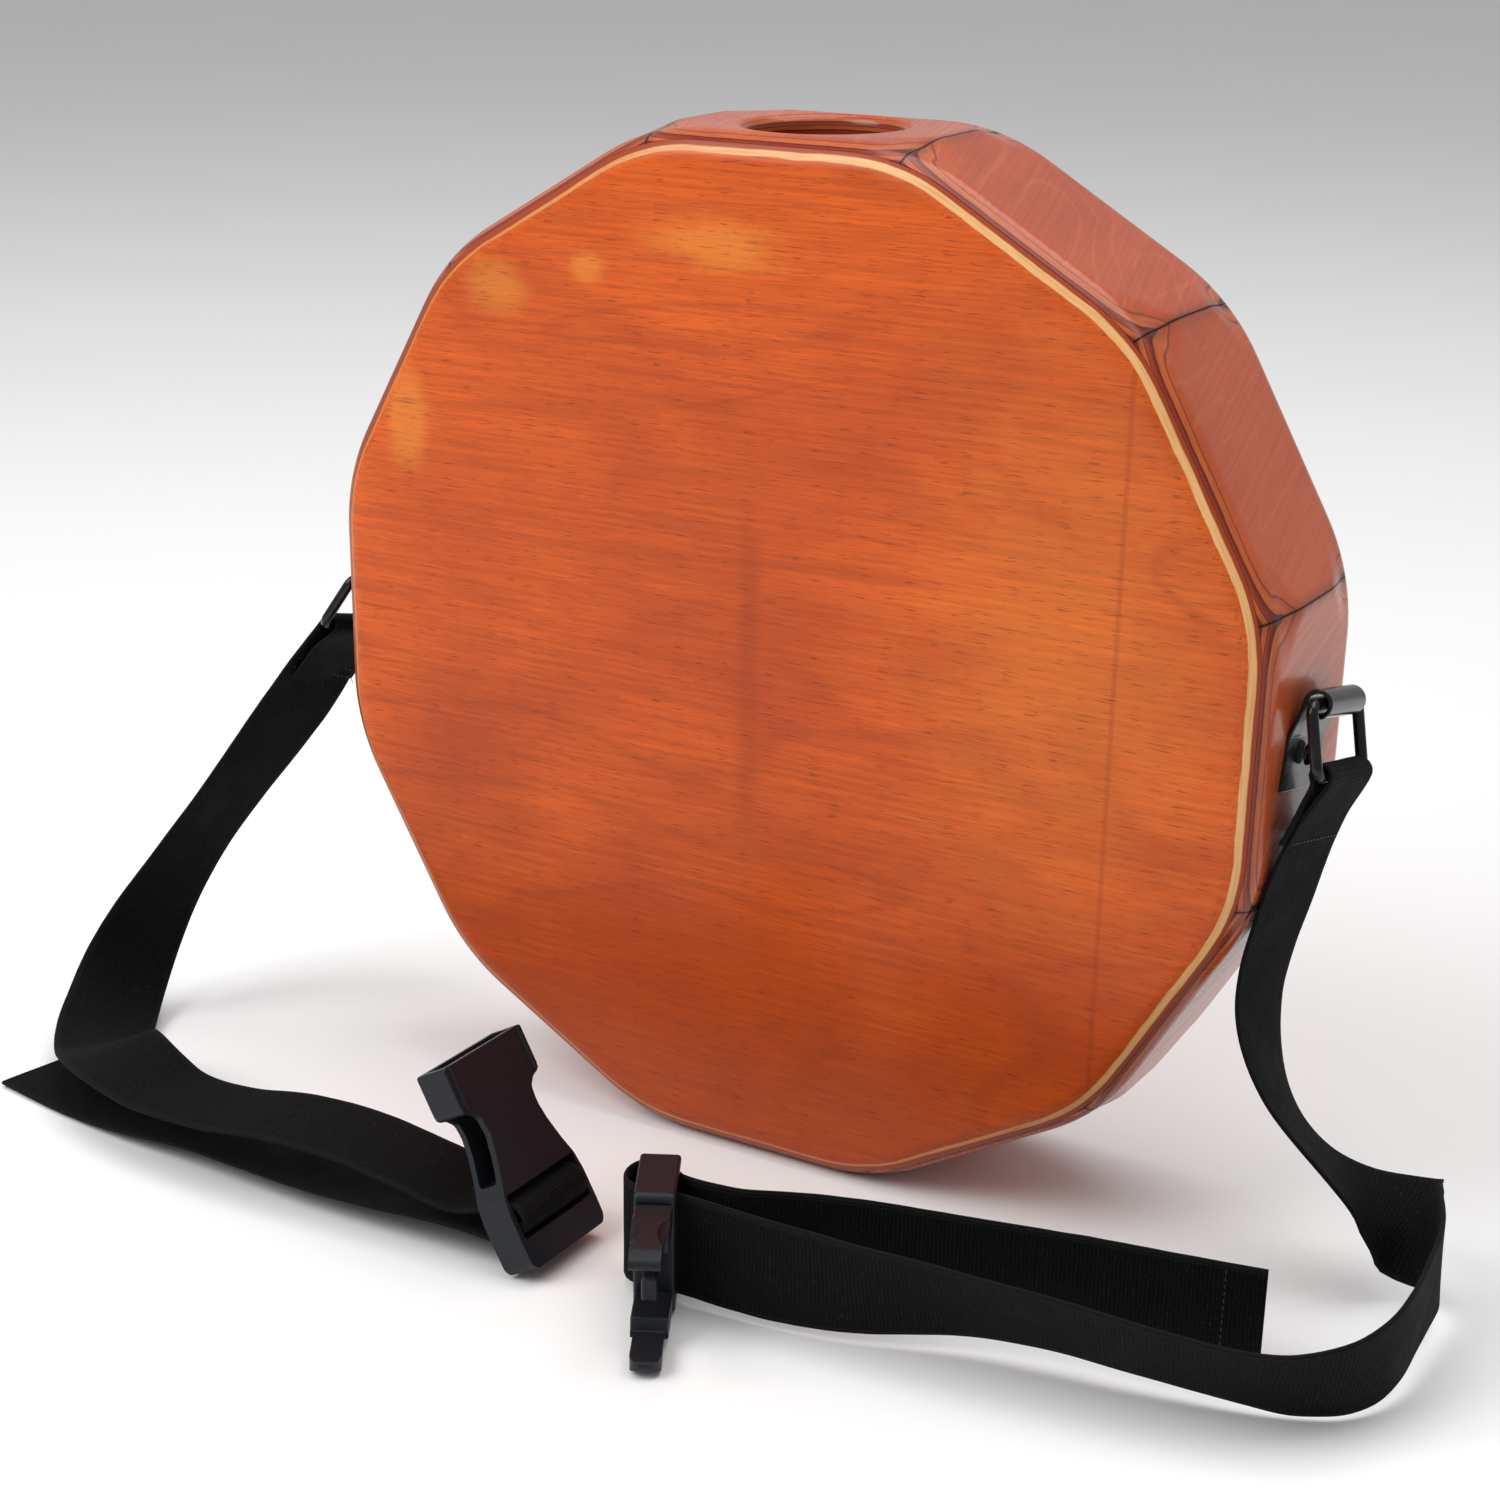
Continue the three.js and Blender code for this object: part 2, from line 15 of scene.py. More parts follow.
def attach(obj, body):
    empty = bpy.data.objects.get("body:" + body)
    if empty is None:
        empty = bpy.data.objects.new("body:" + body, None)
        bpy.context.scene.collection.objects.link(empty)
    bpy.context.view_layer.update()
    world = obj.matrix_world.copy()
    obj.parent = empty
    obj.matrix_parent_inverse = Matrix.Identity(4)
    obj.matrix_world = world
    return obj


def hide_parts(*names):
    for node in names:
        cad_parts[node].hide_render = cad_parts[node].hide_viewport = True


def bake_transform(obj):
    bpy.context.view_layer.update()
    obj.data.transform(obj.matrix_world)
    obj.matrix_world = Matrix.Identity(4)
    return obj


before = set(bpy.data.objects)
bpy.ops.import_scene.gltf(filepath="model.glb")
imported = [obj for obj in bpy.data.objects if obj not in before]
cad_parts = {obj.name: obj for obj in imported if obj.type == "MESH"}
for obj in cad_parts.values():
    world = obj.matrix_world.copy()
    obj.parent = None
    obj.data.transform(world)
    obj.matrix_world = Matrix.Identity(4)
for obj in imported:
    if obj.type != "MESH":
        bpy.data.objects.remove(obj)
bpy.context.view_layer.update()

LOG = logging.getLogger("cajon")

Row = tuple[float, float, float, float, float, float]
Pair = tuple[float, float]
Socket = bpy.types.NodeSocket

# Sizes shared with the solids, in metres
FLATS = 0.370
APOTHEM = FLATS / 2
DEPTH = 0.080
SIDES = 12
STEP = 2 * math.pi / SIDES
WEB = 0.038
WEB_T = 0.0016
MIDDLE = Vector((0.0, 0.0, APOTHEM))
WIRE = 0.002
RING_DROP = 0.023
CURL_OUT = 0.0082

# Strap routes: a point on the strap's middle line, then the way its width runs there
RIGHT_RUN: tuple[Row, ...] = (
    (0.1945, -0.0066, 0.162, 0.1, 0.98, -0.18),
    (0.1895, -0.009, 0.146, 0.15, 0.98, -0.14),
    (0.186, -0.0105, 0.13, 0.16, 0.98, -0.08),
    (0.1825, -0.0115, 0.113, 0.14, 0.99, -0.07),
    (0.1816, -0.0125, 0.097, 0.07, 1, -0.06),
    (0.1846, -0.0134, 0.081, -0.07, 0.99, -0.08),
    (0.191, -0.0138, 0.066, -0.22, 0.97, -0.14),
    (0.2004, -0.013, 0.053, -0.34, 0.91, -0.22),
    (0.2123, -0.0106, 0.0414, -0.4, 0.9, -0.16),
    (0.2255, -0.007, 0.0316, -0.44, 0.88, 0.1),
    (0.239, -0.006, 0.026, -0.38, 0.58, 0.7),
    (0.249, -0.0125, 0.026, -0.16, 0.14, 0.98),
    (0.255, -0.026, 0.0266, 0.02, -0.05, 1),
    (0.259, -0.056, 0.025, 0.1, -0.09, 0.99),
    (0.26, -0.073, 0.0234, 0.08, -0.14, 0.99),
    (0.258, -0.088, 0.0214, 0.1, -0.21, 0.97),
    (0.251, -0.101, 0.0194, 0.2, -0.33, 0.92),
    (0.239, -0.11, 0.018, 0.26, -0.47, 0.84),
    (0.2246, -0.116, 0.0187, 0.25, -0.56, 0.79),
    (0.194, -0.123, 0.0216, 0.17, -0.55, 0.82),
    (0.162, -0.1275, 0.024, 0.11, -0.55, 0.82),
    (0.131, -0.1325, 0.0242, 0.05, -0.5, 0.86),
    (0.115, -0.136, 0.0234, 0.0, -0.35, 0.94),
    (0.099, -0.1395, 0.0225, 0.0, -0.18, 0.98),
    (0.067, -0.1436, 0.022, 0.0, 0.0, 1),
    (0.042, -0.1452, 0.0228, 0.0, 0.0, 1),
    (0.036, -0.1453, 0.0228, 0.0, 0.0, 1),
    (0.03, -0.1452, 0.0228, 0.0, 0.0, 1),
)

LEFT_RUN: tuple[Row, ...] = (
    (-0.2186, -0.012, 0.147, 0.08, 0.93, -0.33),
    (-0.2255, -0.016, 0.135, 0.15, 0.91, -0.38),
    (-0.24, -0.023, 0.1128, 0.1, 0.92, -0.37),
    (-0.2545, -0.031, 0.0907, 0.01, 0.93, -0.37),
    (-0.268, -0.04, 0.0687, 0.0, 0.91, -0.42),
    (-0.278, -0.052, 0.046, 0.12, 0.84, -0.53),
    (-0.281, -0.059, 0.0348, 0.27, 0.77, -0.57),
    (-0.2817, -0.0673, 0.0246, 0.46, 0.68, -0.57),
    (-0.2795, -0.077, 0.0164, 0.62, 0.59, -0.52),
    (-0.2743, -0.088, 0.0114, 0.72, 0.53, -0.43),
    (-0.267, -0.1, 0.0096, 0.77, 0.54, -0.34),
    (-0.258, -0.111, 0.0104, 0.75, 0.63, -0.17),
    (-0.2487, -0.1204, 0.014, 0.69, 0.72, 0.0),
    (-0.2393, -0.1286, 0.0194, 0.58, 0.8, 0.15),
    (-0.2289, -0.136, 0.024, 0.44, 0.86, 0.24),
    (-0.2169, -0.142, 0.0252, 0.3, 0.93, 0.2),
    (-0.2029, -0.146, 0.0234, 0.22, 0.98, 0.02),
    (-0.1886, -0.1488, 0.0216, 0.14, 0.99, -0.07),
    (-0.16, -0.1506, 0.023, 0.0, 1, 0.0),
    (-0.13, -0.1496, 0.027, -0.06, 1, 0.02),
    (-0.1, -0.1477, 0.027, -0.07, 1, 0.0),
    (-0.07, -0.146, 0.0226, -0.06, 1, 0.0),
    (-0.048, -0.1446, 0.0188, -0.03, 1, -0.04),
)

LEFT_TAIL: tuple[Row, ...] = (
    (-0.041, -0.143, 0.01, 0.0, 0.98, -0.12),
    (-0.056, -0.144, 0.0092, -0.02, 0.98, -0.18),
    (-0.085, -0.145, 0.0066, -0.01, 0.98, -0.19),
    (-0.114, -0.1453, 0.0054, 0.01, 0.98, -0.18),
    (-0.143, -0.1446, 0.0054, 0.04, 0.98, -0.18),
    (-0.173, -0.143, 0.0052, 0.07, 0.98, -0.17),
    (-0.202, -0.1408, 0.0032, 0.1, 0.99, -0.06),
    (-0.231, -0.1372, 0.0016, 0.16, 0.99, 0.0),
    (-0.26, -0.1324, 0.0014, 0.15, 0.99, 0.0),
    (-0.274, -0.13, 0.0014, 0.08, 1, 0.0),
)

RIGHT_TAIL: tuple[Row, ...] = (
    (0.05, -0.1296, 0.0216, 0.0, 0.0, 1),
    (0.066, -0.1206, 0.0208, 0.0, 0.0, 1),
    (0.085, -0.112, 0.02, 0.0, 0.0, 1),
    (0.131, -0.1005, 0.0198, 0.0, 0.0, 1),
    (0.163, -0.093, 0.0198, 0.0, 0.0, 1),
    (0.19, -0.088, 0.0198, 0.0, 0.0, 1),
    (0.217, -0.0824, 0.0198, 0.0, 0.0, 1),
)

class Side(Enum):
    """The drum's two strap mounts."""

    RIGHT = "right"
    LEFT = "left"


class Blend(Enum):
    """Ways of mixing two colours."""

    MIX = "MIX"
    MULTIPLY = "MULTIPLY"
    OVERLAY = "OVERLAY"


# ------------------------------------------------------------------ node trees


class Graph:
    """Builds one node tree, a node at a time."""

    def __init__(self, tree: bpy.types.NodeTree) -> None:
        """Starts on an empty tree."""
        self.tree = tree
        tree.nodes.clear()

    def node(self, kind: str, inputs: dict | None = None, **settings: object) -> bpy.types.Node:
        """Adds a node.

        Args:
            kind: the node's type without its ShaderNode prefix.
            inputs: input name or number to a value or a socket to link.
            settings: the node's own properties.

        Returns:
            The new node.
        """
        made = self.tree.nodes.new("ShaderNode" + kind)
        for name, value in settings.items():
            setattr(made, name, value)
        for name, value in (inputs or {}).items():
            if isinstance(value, Socket):
                self.tree.links.new(value, made.inputs[name])
            else:
                made.inputs[name].default_value = value
        return made

    def math(self, operation: str, a: object, b: object = 0.0, clamp: bool = False) -> Socket:
        """Adds a Math node and returns its result."""
        return self.node("Math", {0: a, 1: b}, operation=operation, use_clamp=clamp).outputs[0]

    def span(self, value: Socket, low: float, high: float, to_low: float = 0.0, to_high: float = 1.0) -> Socket:
        """Maps a value from one range to another, smoothly, and returns the result."""
        inputs = {"Value": value, 1: low, 2: high, 3: to_low, 4: to_high}
        return self.node("MapRange", inputs, interpolation_type="SMOOTHSTEP").outputs[0]

    def span_linear(self, value: Socket, low: float, high: float) -> Socket:
        """Maps a value from a range to 0 to 1, evenly, and returns the result."""
        return self.node("MapRange", {"Value": value, 1: low, 2: high, 3: 0.0, 4: 1.0}).outputs[0]

    def mix(self, factor: object, a: object, b: object, blend: Blend = Blend.MIX) -> Socket:
        """Mixes two colours and returns the result."""
        made = self.node("Mix", data_type="RGBA", blend_type=blend.value)
        for socket, value in ((made.inputs[0], factor), (made.inputs[6], a), (made.inputs[7], b)):
            if isinstance(value, Socket):
                self.tree.links.new(value, socket)
            else:
                socket.default_value = value
        return made.outputs[2]

    def noise(self, vector: Socket, scale: float, detail: float = 3.0, roughness: float = 0.5, warp: float = 0.0) -> Socket:
        """Adds a noise texture and returns its value."""
        inputs = {"Vector": vector, "Scale": scale, "Detail": detail, "Roughness": roughness, "Distortion": warp}
        return self.node("TexNoise", inputs).outputs[0]

    def stretch(self, vector: Socket, scale: Sequence[float], place: Sequence[float] = (0, 0, 0), turn: Sequence[float] = (0, 0, 0)) -> Socket:
        """Scales, moves and turns coordinates and returns them."""
        inputs = {"Vector": vector, "Location": place, "Rotation": turn, "Scale": scale}
        return self.node("Mapping", inputs).outputs[0]

    def ramp(self, factor: Socket, stops: Sequence[tuple[float, Sequence[float]]]) -> Socket:
        """Adds a colour ramp of (position, colour) stops and returns its colour."""
        made = self.node("ValToRGB", {0: factor})
        ramp = made.color_ramp
        while len(ramp.elements) < len(stops):
            ramp.elements.new(0.5)
        for element, (position, colour) in zip(ramp.elements, stops):
            element.position = position
            element.color = (*colour[:3], 1.0)
        return made.outputs[0]

    def split(self, vector: Socket) -> tuple[Socket, Socket, Socket]:
        """Returns a vector's three parts."""
        made = self.node("SeparateXYZ", {0: vector})
        return made.outputs[0], made.outputs[1], made.outputs[2]

    def group(self, tree: bpy.types.NodeTree, inputs: dict) -> bpy.types.Node:
        """Places a node group and fills its inputs."""
        made = self.node("Group", node_tree=tree)
        for name, value in inputs.items():
            if isinstance(value, Socket):
                self.tree.links.new(value, made.inputs[name])
            else:
                made.inputs[name].default_value = value
        return made

    def bump(self, height: Socket, strength: float, distance: float, normal: Socket | None = None) -> Socket:
        """Turns a height into a normal, on top of another one if it is given."""
        inputs = {"Height": height, "Strength": strength, "Distance": distance}
        if normal is not None:
            inputs["Normal"] = normal
        return self.node("Bump", inputs).outputs[0]


def new_group(name: str, inputs: Sequence[tuple[str, str, object]], outputs: Sequence[tuple[str, str]]) -> tuple[bpy.types.NodeTree, Graph, dict[str, Socket], bpy.types.Node]:
    """Starts a shader node group.

    Args:
        name: the group's name.
        inputs: (name, kind, default) of each input socket.
        outputs: (name, kind) of each output socket.

    Returns:
        The group, its graph, its inputs by name and its output node.
    """
    tree = bpy.data.node_groups.new(name, "ShaderNodeTree")
    graph = Graph(tree)
    for title, kind, default in inputs:
        made = tree.interface.new_socket(title, in_out="INPUT", socket_type="NodeSocket" + kind)
        if default is not None:
            made.default_value = default
    for title, kind in outputs:
        tree.interface.new_socket(title, in_out="OUTPUT", socket_type="NodeSocket" + kind)
    source = tree.nodes.new("NodeGroupInput")
    sink = tree.nodes.new("NodeGroupOutput")
    return tree, graph, {title: source.outputs[title] for title, _, _ in inputs}, sink


def grain_group() -> bpy.types.NodeTree:
    """Wood grain in coordinates whose X runs along the fibres: streaks, pores, growth lines and cloudy stain."""
    inputs = (("Along", "Vector", None), ("Line Scale", "Float", 42.0), ("Line Bend", "Float", 1.0))
    outputs = (("Streak", "Float"), ("Pore", "Float"), ("Line", "Float"), ("Cloud", "Float"), ("Height", "Float"))
    tree, g, given, sink = new_group("Grain", inputs, outputs)
    along = given["Along"]
    streak = g.noise(g.stretch(along, (14, 600, 600)), 1.0, 4.0, 0.62)
    fine = g.noise(g.stretch(along, (60, 2600, 2600)), 1.0, 2.0, 0.6)
    pore = g.math("GREATER_THAN", g.noise(g.stretch(along, (110, 2100, 2100)), 1.0, 1.0, 0.4), 0.665)
    bent = g.node("VectorMath", {0: g.stretch(along, (3.2, 11, 11)), 1: (0.0, 0.0, 0.0)}, operation="ADD").outputs[0]
    contour = g.math("MULTIPLY", g.noise(bent, 1.0, 1.5, 0.45, 0.6), given["Line Scale"])
    edge = g.math("ABSOLUTE", g.math("SUBTRACT", g.math("FRACT", contour), 0.5))
    line = g.math("MULTIPLY", g.span(edge, 0.0, 0.09, 1.0, 0.0), given["Line Bend"])
    cloud = g.noise(g.stretch(along, (9, 15, 15)), 1.0, 4.0, 0.58, 0.4)
    height = g.math("ADD", g.math("MULTIPLY", streak, 0.7), g.math("MULTIPLY", g.math("SUBTRACT", fine, pore), 0.3))
    mixed = g.math("ADD", g.math("MULTIPLY", streak, 0.65), g.math("MULTIPLY", fine, 0.35))
    for title, value in (("Streak", mixed), ("Pore", pore), ("Line", line), ("Cloud", cloud), ("Height", height)):
        tree.links.new(value, sink.inputs[title])
    return tree


def fleck_group() -> bpy.types.NodeTree:
    """Small flecks and a fine skin, for moulded plastic, black paint and dust on cloth."""
    inputs = (("Vector", "Vector", None), ("Scale", "Float", 2500.0))
    tree, g, given, sink = new_group("Fleck", inputs, (("Skin", "Float"), ("Fleck", "Float"), ("Smudge", "Float")))
    skin = g.node("TexNoise", {"Vector": given["Vector"], "Scale": given["Scale"], "Detail": 2.0}).outputs[0]
    rare = g.node("TexNoise", {"Vector": given["Vector"], "Scale": 900.0, "Detail": 0.0}).outputs[0]
    smudge = g.noise(given["Vector"], 70.0, 4.0, 0.6, 0.8)
    tree.links.new(skin, sink.inputs["Skin"])
    tree.links.new(g.span(rare, 0.7, 0.78), sink.inputs["Fleck"])
    tree.links.new(smudge, sink.inputs["Smudge"])
    return tree


def weave_group() -> bpy.types.NodeTree:
    """Woven webbing in coordinates (across, along): crossed threads, ribs and a plain selvedge."""
    inputs = (("Weave", "Vector", None), ("Rib", "Float", 0.0014), ("Cord", "Float", 0.0011), ("Half", "Float", 0.019))
    tree, g, given, sink = new_group("Weave", inputs, (("Height", "Float"), ("Selvedge", "Float"), ("Wear", "Float")))
    across, along, _ = g.split(given["Weave"])
    ripple = g.math("MULTIPLY", g.math("SUBTRACT", g.noise(given["Weave"], 180.0, 2.0), 0.5), 0.0007)
    rows = g.math("DIVIDE", g.math("ADD", along, ripple), given["Rib"])
    columns = g.math("DIVIDE", across, given["Cord"])
    turn = 2 * math.pi
    rib = g.math("SINE", g.math("MULTIPLY", rows, turn))
    cord = g.math("SINE", g.math("MULTIPLY", columns, turn))
    over = g.math("MULTIPLY", rib, cord)
    selvedge = g.span(g.math("DIVIDE", g.math("ABSOLUTE", across), given["Half"]), 0.86, 0.9)
    body = g.math("ADD", g.math("MULTIPLY", rib, 0.55), g.math("MULTIPLY", over, 0.45))
    plain = g.math("MULTIPLY", cord, 0.7)
    height = g.math("ADD", g.math("MULTIPLY", body, g.math("SUBTRACT", 1.0, selvedge)), g.math("MULTIPLY", plain, selvedge))
    tree.links.new(height, sink.inputs["Height"])
    tree.links.new(selvedge, sink.inputs["Selvedge"])
    tree.links.new(g.noise(given["Weave"], 60.0, 5.0, 0.65), sink.inputs["Wear"])
    return tree


GRAIN = grain_group()
FLECK = fleck_group()
WEAVE = weave_group()


def new_material(name: str) -> tuple[bpy.types.Material, Graph]:
    """Starts a material with an empty tree."""
    material = bpy.data.materials.new(name)
    material.use_nodes = True
    return material, Graph(material.node_tree)


def finish_surface(g: Graph, linked: dict[str, Socket], fixed: dict[str, object]) -> None:
    """Adds the shader and the output.

    Args:
        g: the material's graph.
        linked: shader input name to the socket that drives it.
        fixed: shader input name to a value that is the same all over.
    """
    shader = g.node("BsdfPrincipled", {**fixed, **linked})
    g.node("OutputMaterial", {"Surface": shader.outputs[0]})


# -------------------------------------------------------------------- finishes


@dataclass(frozen=True)
class FaceFinish:
    """Amber stain on the birch of the two plates, with pale and dark clouds and the plies at the rim, plus painted
    highlight and painted shade on the front and a painted highlight on the rim's cream line.
    """

    amber: Sequence[float] = (0.660, 0.090, 0.007)
    light: Sequence[float] = (0.84, 0.160, 0.010)
    dark: Sequence[float] = (0.26, 0.032, 0.006)
    # colour of the painted highlight on the front
    pale: Sequence[float] = (0.90, 0.38, 0.055)
    cream: Sequence[float] = (0.74, 0.42, 0.17)
    ply: Sequence[float] = (0.30, 0.045, 0.012)

    def material(self) -> bpy.types.Material:
        """Returns the plates' material."""
        material, g = new_material("Stained_Face")
        place = g.node("TexCoord").outputs["Object"]
        x, y, z = g.split(place)
        grain = g.group(GRAIN, {"Along": place, "Line Scale": 7.0, "Line Bend": 1.0})
        out = grain.outputs
        tone = g.mix(g.span(out["Cloud"], 0.28, 0.72), (*self.dark, 1), (*self.light, 1))
        tone = g.mix(0.62, tone, (*self.amber, 1))
        tone = g.mix(g.span(out["Streak"], 0.38, 0.62, 0.0, 0.42), tone, (*self.dark, 1))
        # Painted highlight and painted shade on the front, where light falls on the satin face, plus two real dark
        # pressing lines
        painted_light_and_lines = self.painted_light_and_pressing_lines(g, place, x, y, z)
        tone = g.mix(painted_light_and_lines[0], tone, (*self.pale, 1))
        tone = g.mix(painted_light_and_lines[1], tone, (*self.dark, 1))
        tone = g.mix(g.math("MULTIPLY", out["Line"], 0.22), tone, (*self.dark, 1))
        tone = g.mix(g.math("MULTIPLY", out["Pore"], 0.5), tone, (0.10, 0.015, 0.004, 1))
        inset = g.math("SUBTRACT", DEPTH / 2, g.math("ABSOLUTE", y))
        wavy = g.math("MULTIPLY", g.math("SUBTRACT", g.noise(place, 90.0, 3.0), 0.5), 0.0005)
        inset = g.math("ADD", inset, wavy)
        # Painted highlight: the rim's cream ply line grows wider and paler towards the upper right, where light falls
        # on the round-over
        painted_lit_side = g.span(g.math("ADD", x, g.math("MULTIPLY", z, 0.5)), 0.02, 0.25, 0.0, 1.0)
        edge = g.math("SUBTRACT", inset, g.math("MULTIPLY", painted_lit_side, 0.0008))
        core = g.math("MULTIPLY", g.span(inset, 0.00072, 0.0009), g.span(edge, 0.0011, 0.0014, 1.0, 0.0))
        cream = g.mix(painted_lit_side, (0.56, 0.20, 0.045, 1), (*self.cream, 1))
        fibre = g.noise(g.stretch(place, (60, 3000, 60)), 1.0, 2.0)
        cream = g.mix(g.span(fibre, 0.4, 0.7, 0.0, 0.35), cream, (0.45, 0.14, 0.02, 1))
        tone = g.mix(g.span(edge, 0.0011, 0.0015), tone, (*self.ply, 1))
        tone = g.mix(core, tone, cream)
        rough = g.span(out["Streak"], 0.3, 0.7, 0.30, 0.44)
        normal = g.bump(out["Height"], 0.16, 0.0004)
        orange = g.bump(g.noise(place, 260.0, 2.0), 0.05, 0.0006, normal)
        fixed = {"Coat Weight": 0.12, "Coat Roughness": 0.20, "IOR": 1.5, "Specular IOR Level": 0.22}
        finish_surface(g, {"Base Color": tone, "Roughness": rough, "Normal": orange}, fixed)
        return material

    def painted_light_and_pressing_lines(self, g: Graph, place: Socket, x: Socket, y: Socket, z: Socket) -> tuple[Socket, Socket]:
        """Masks of the painted highlight and of the painted shade on the front, the shade mask also holding two thin
        dark pressing lines.

        Args:
            g: the material's graph.
            place: object coordinates.
            x: their X.
            y: their Y.
            z: their Z.

        Returns:
            The pale mask and the dark mask.
        """
        front = g.math("LESS_THAN", y, 0.0)
        ragged = g.noise(g.stretch(place, (40, 40, 90)), 1.0, 4.0, 0.6, 0.5)

        def spot(cx: float, cz: float, rx: float, rz: float, low: float, high: float) -> Socket:
            """A soft ragged ellipse."""
            dx = g.math("DIVIDE", g.math("SUBTRACT", x, cx), rx)
            dz = g.math("DIVIDE", g.math("SUBTRACT", z, cz), rz)
            far = g.math("SQRT", g.math("ADD", g.math("MULTIPLY", dx, dx), g.math("MULTIPLY", dz, dz)))
            far = g.math("ADD", far, g.math("MULTIPLY", g.math("SUBTRACT", ragged, 0.5), 1.5))
            return g.span(far, low - 0.2, high + 0.25, 1.0, 0.0)

        # Painted highlight: pale near the top edge and upper left, and a wide soft patch on the right
        pale = spot(-0.020, 0.334, 0.030, 0.009, 0.55, 1.0)
        for cx, cz, rx, rz in ((-0.108, 0.312, 0.016, 0.010), (-0.150, 0.262, 0.010, 0.022), (-0.070, 0.322, 0.008, 0.006)):
            pale = g.math("MAXIMUM", pale, spot(cx, cz, rx, rz, 0.5, 1.0))
        wide = spot(0.120, 0.215, 0.060, 0.100, 0.2, 1.3)
        pale = g.math("ADD", g.math("MULTIPLY", pale, 0.30), g.math("MULTIPLY", wide, 0.16), clamp=True)
        # Painted shade: darker in the middle and lower middle of the front
        dark = spot(-0.070, 0.040, 0.028, 0.018, 0.2, 1.2)
        for cx, cz, rx, rz in ((-0.020, 0.235, 0.050, 0.045), (-0.120, 0.150, 0.040, 0.090), (0.02, 0.13, 0.07, 0.02)):
            dark = g.math("MAXIMUM", dark, g.math("MULTIPLY", spot(cx, cz, rx, rz, 0.1, 1.4), 0.45))
        # Real marks: two thin dark pressing lines in the veneer
        seam = g.span(g.math("ABSOLUTE", g.math("SUBTRACT", x, 0.1335)), 0.0003, 0.0014, 0.30, 0.0)
        band = g.span(g.math("ABSOLUTE", g.math("ADD", x, 0.0035)), 0.001, 0.007, 0.28, 0.0)
        tall = g.span(g.math("ABSOLUTE", g.math("SUBTRACT", z, 0.185)), 0.03, 0.075, 1.0, 0.0)
        # Painted shade, darker towards the bottom
        foot = g.span(z, 0.0, 0.13, 0.55, 0.0)
        dark = g.math("MAXIMUM", g.math("MULTIPLY", dark, 0.5), foot)
        dark = g.math("ADD", dark, g.math("ADD", seam, g.math("MULTIPLY", band, tall)), clamp=True)
        return g.math("MULTIPLY", pale, front), g.math("MULTIPLY", dark, front)


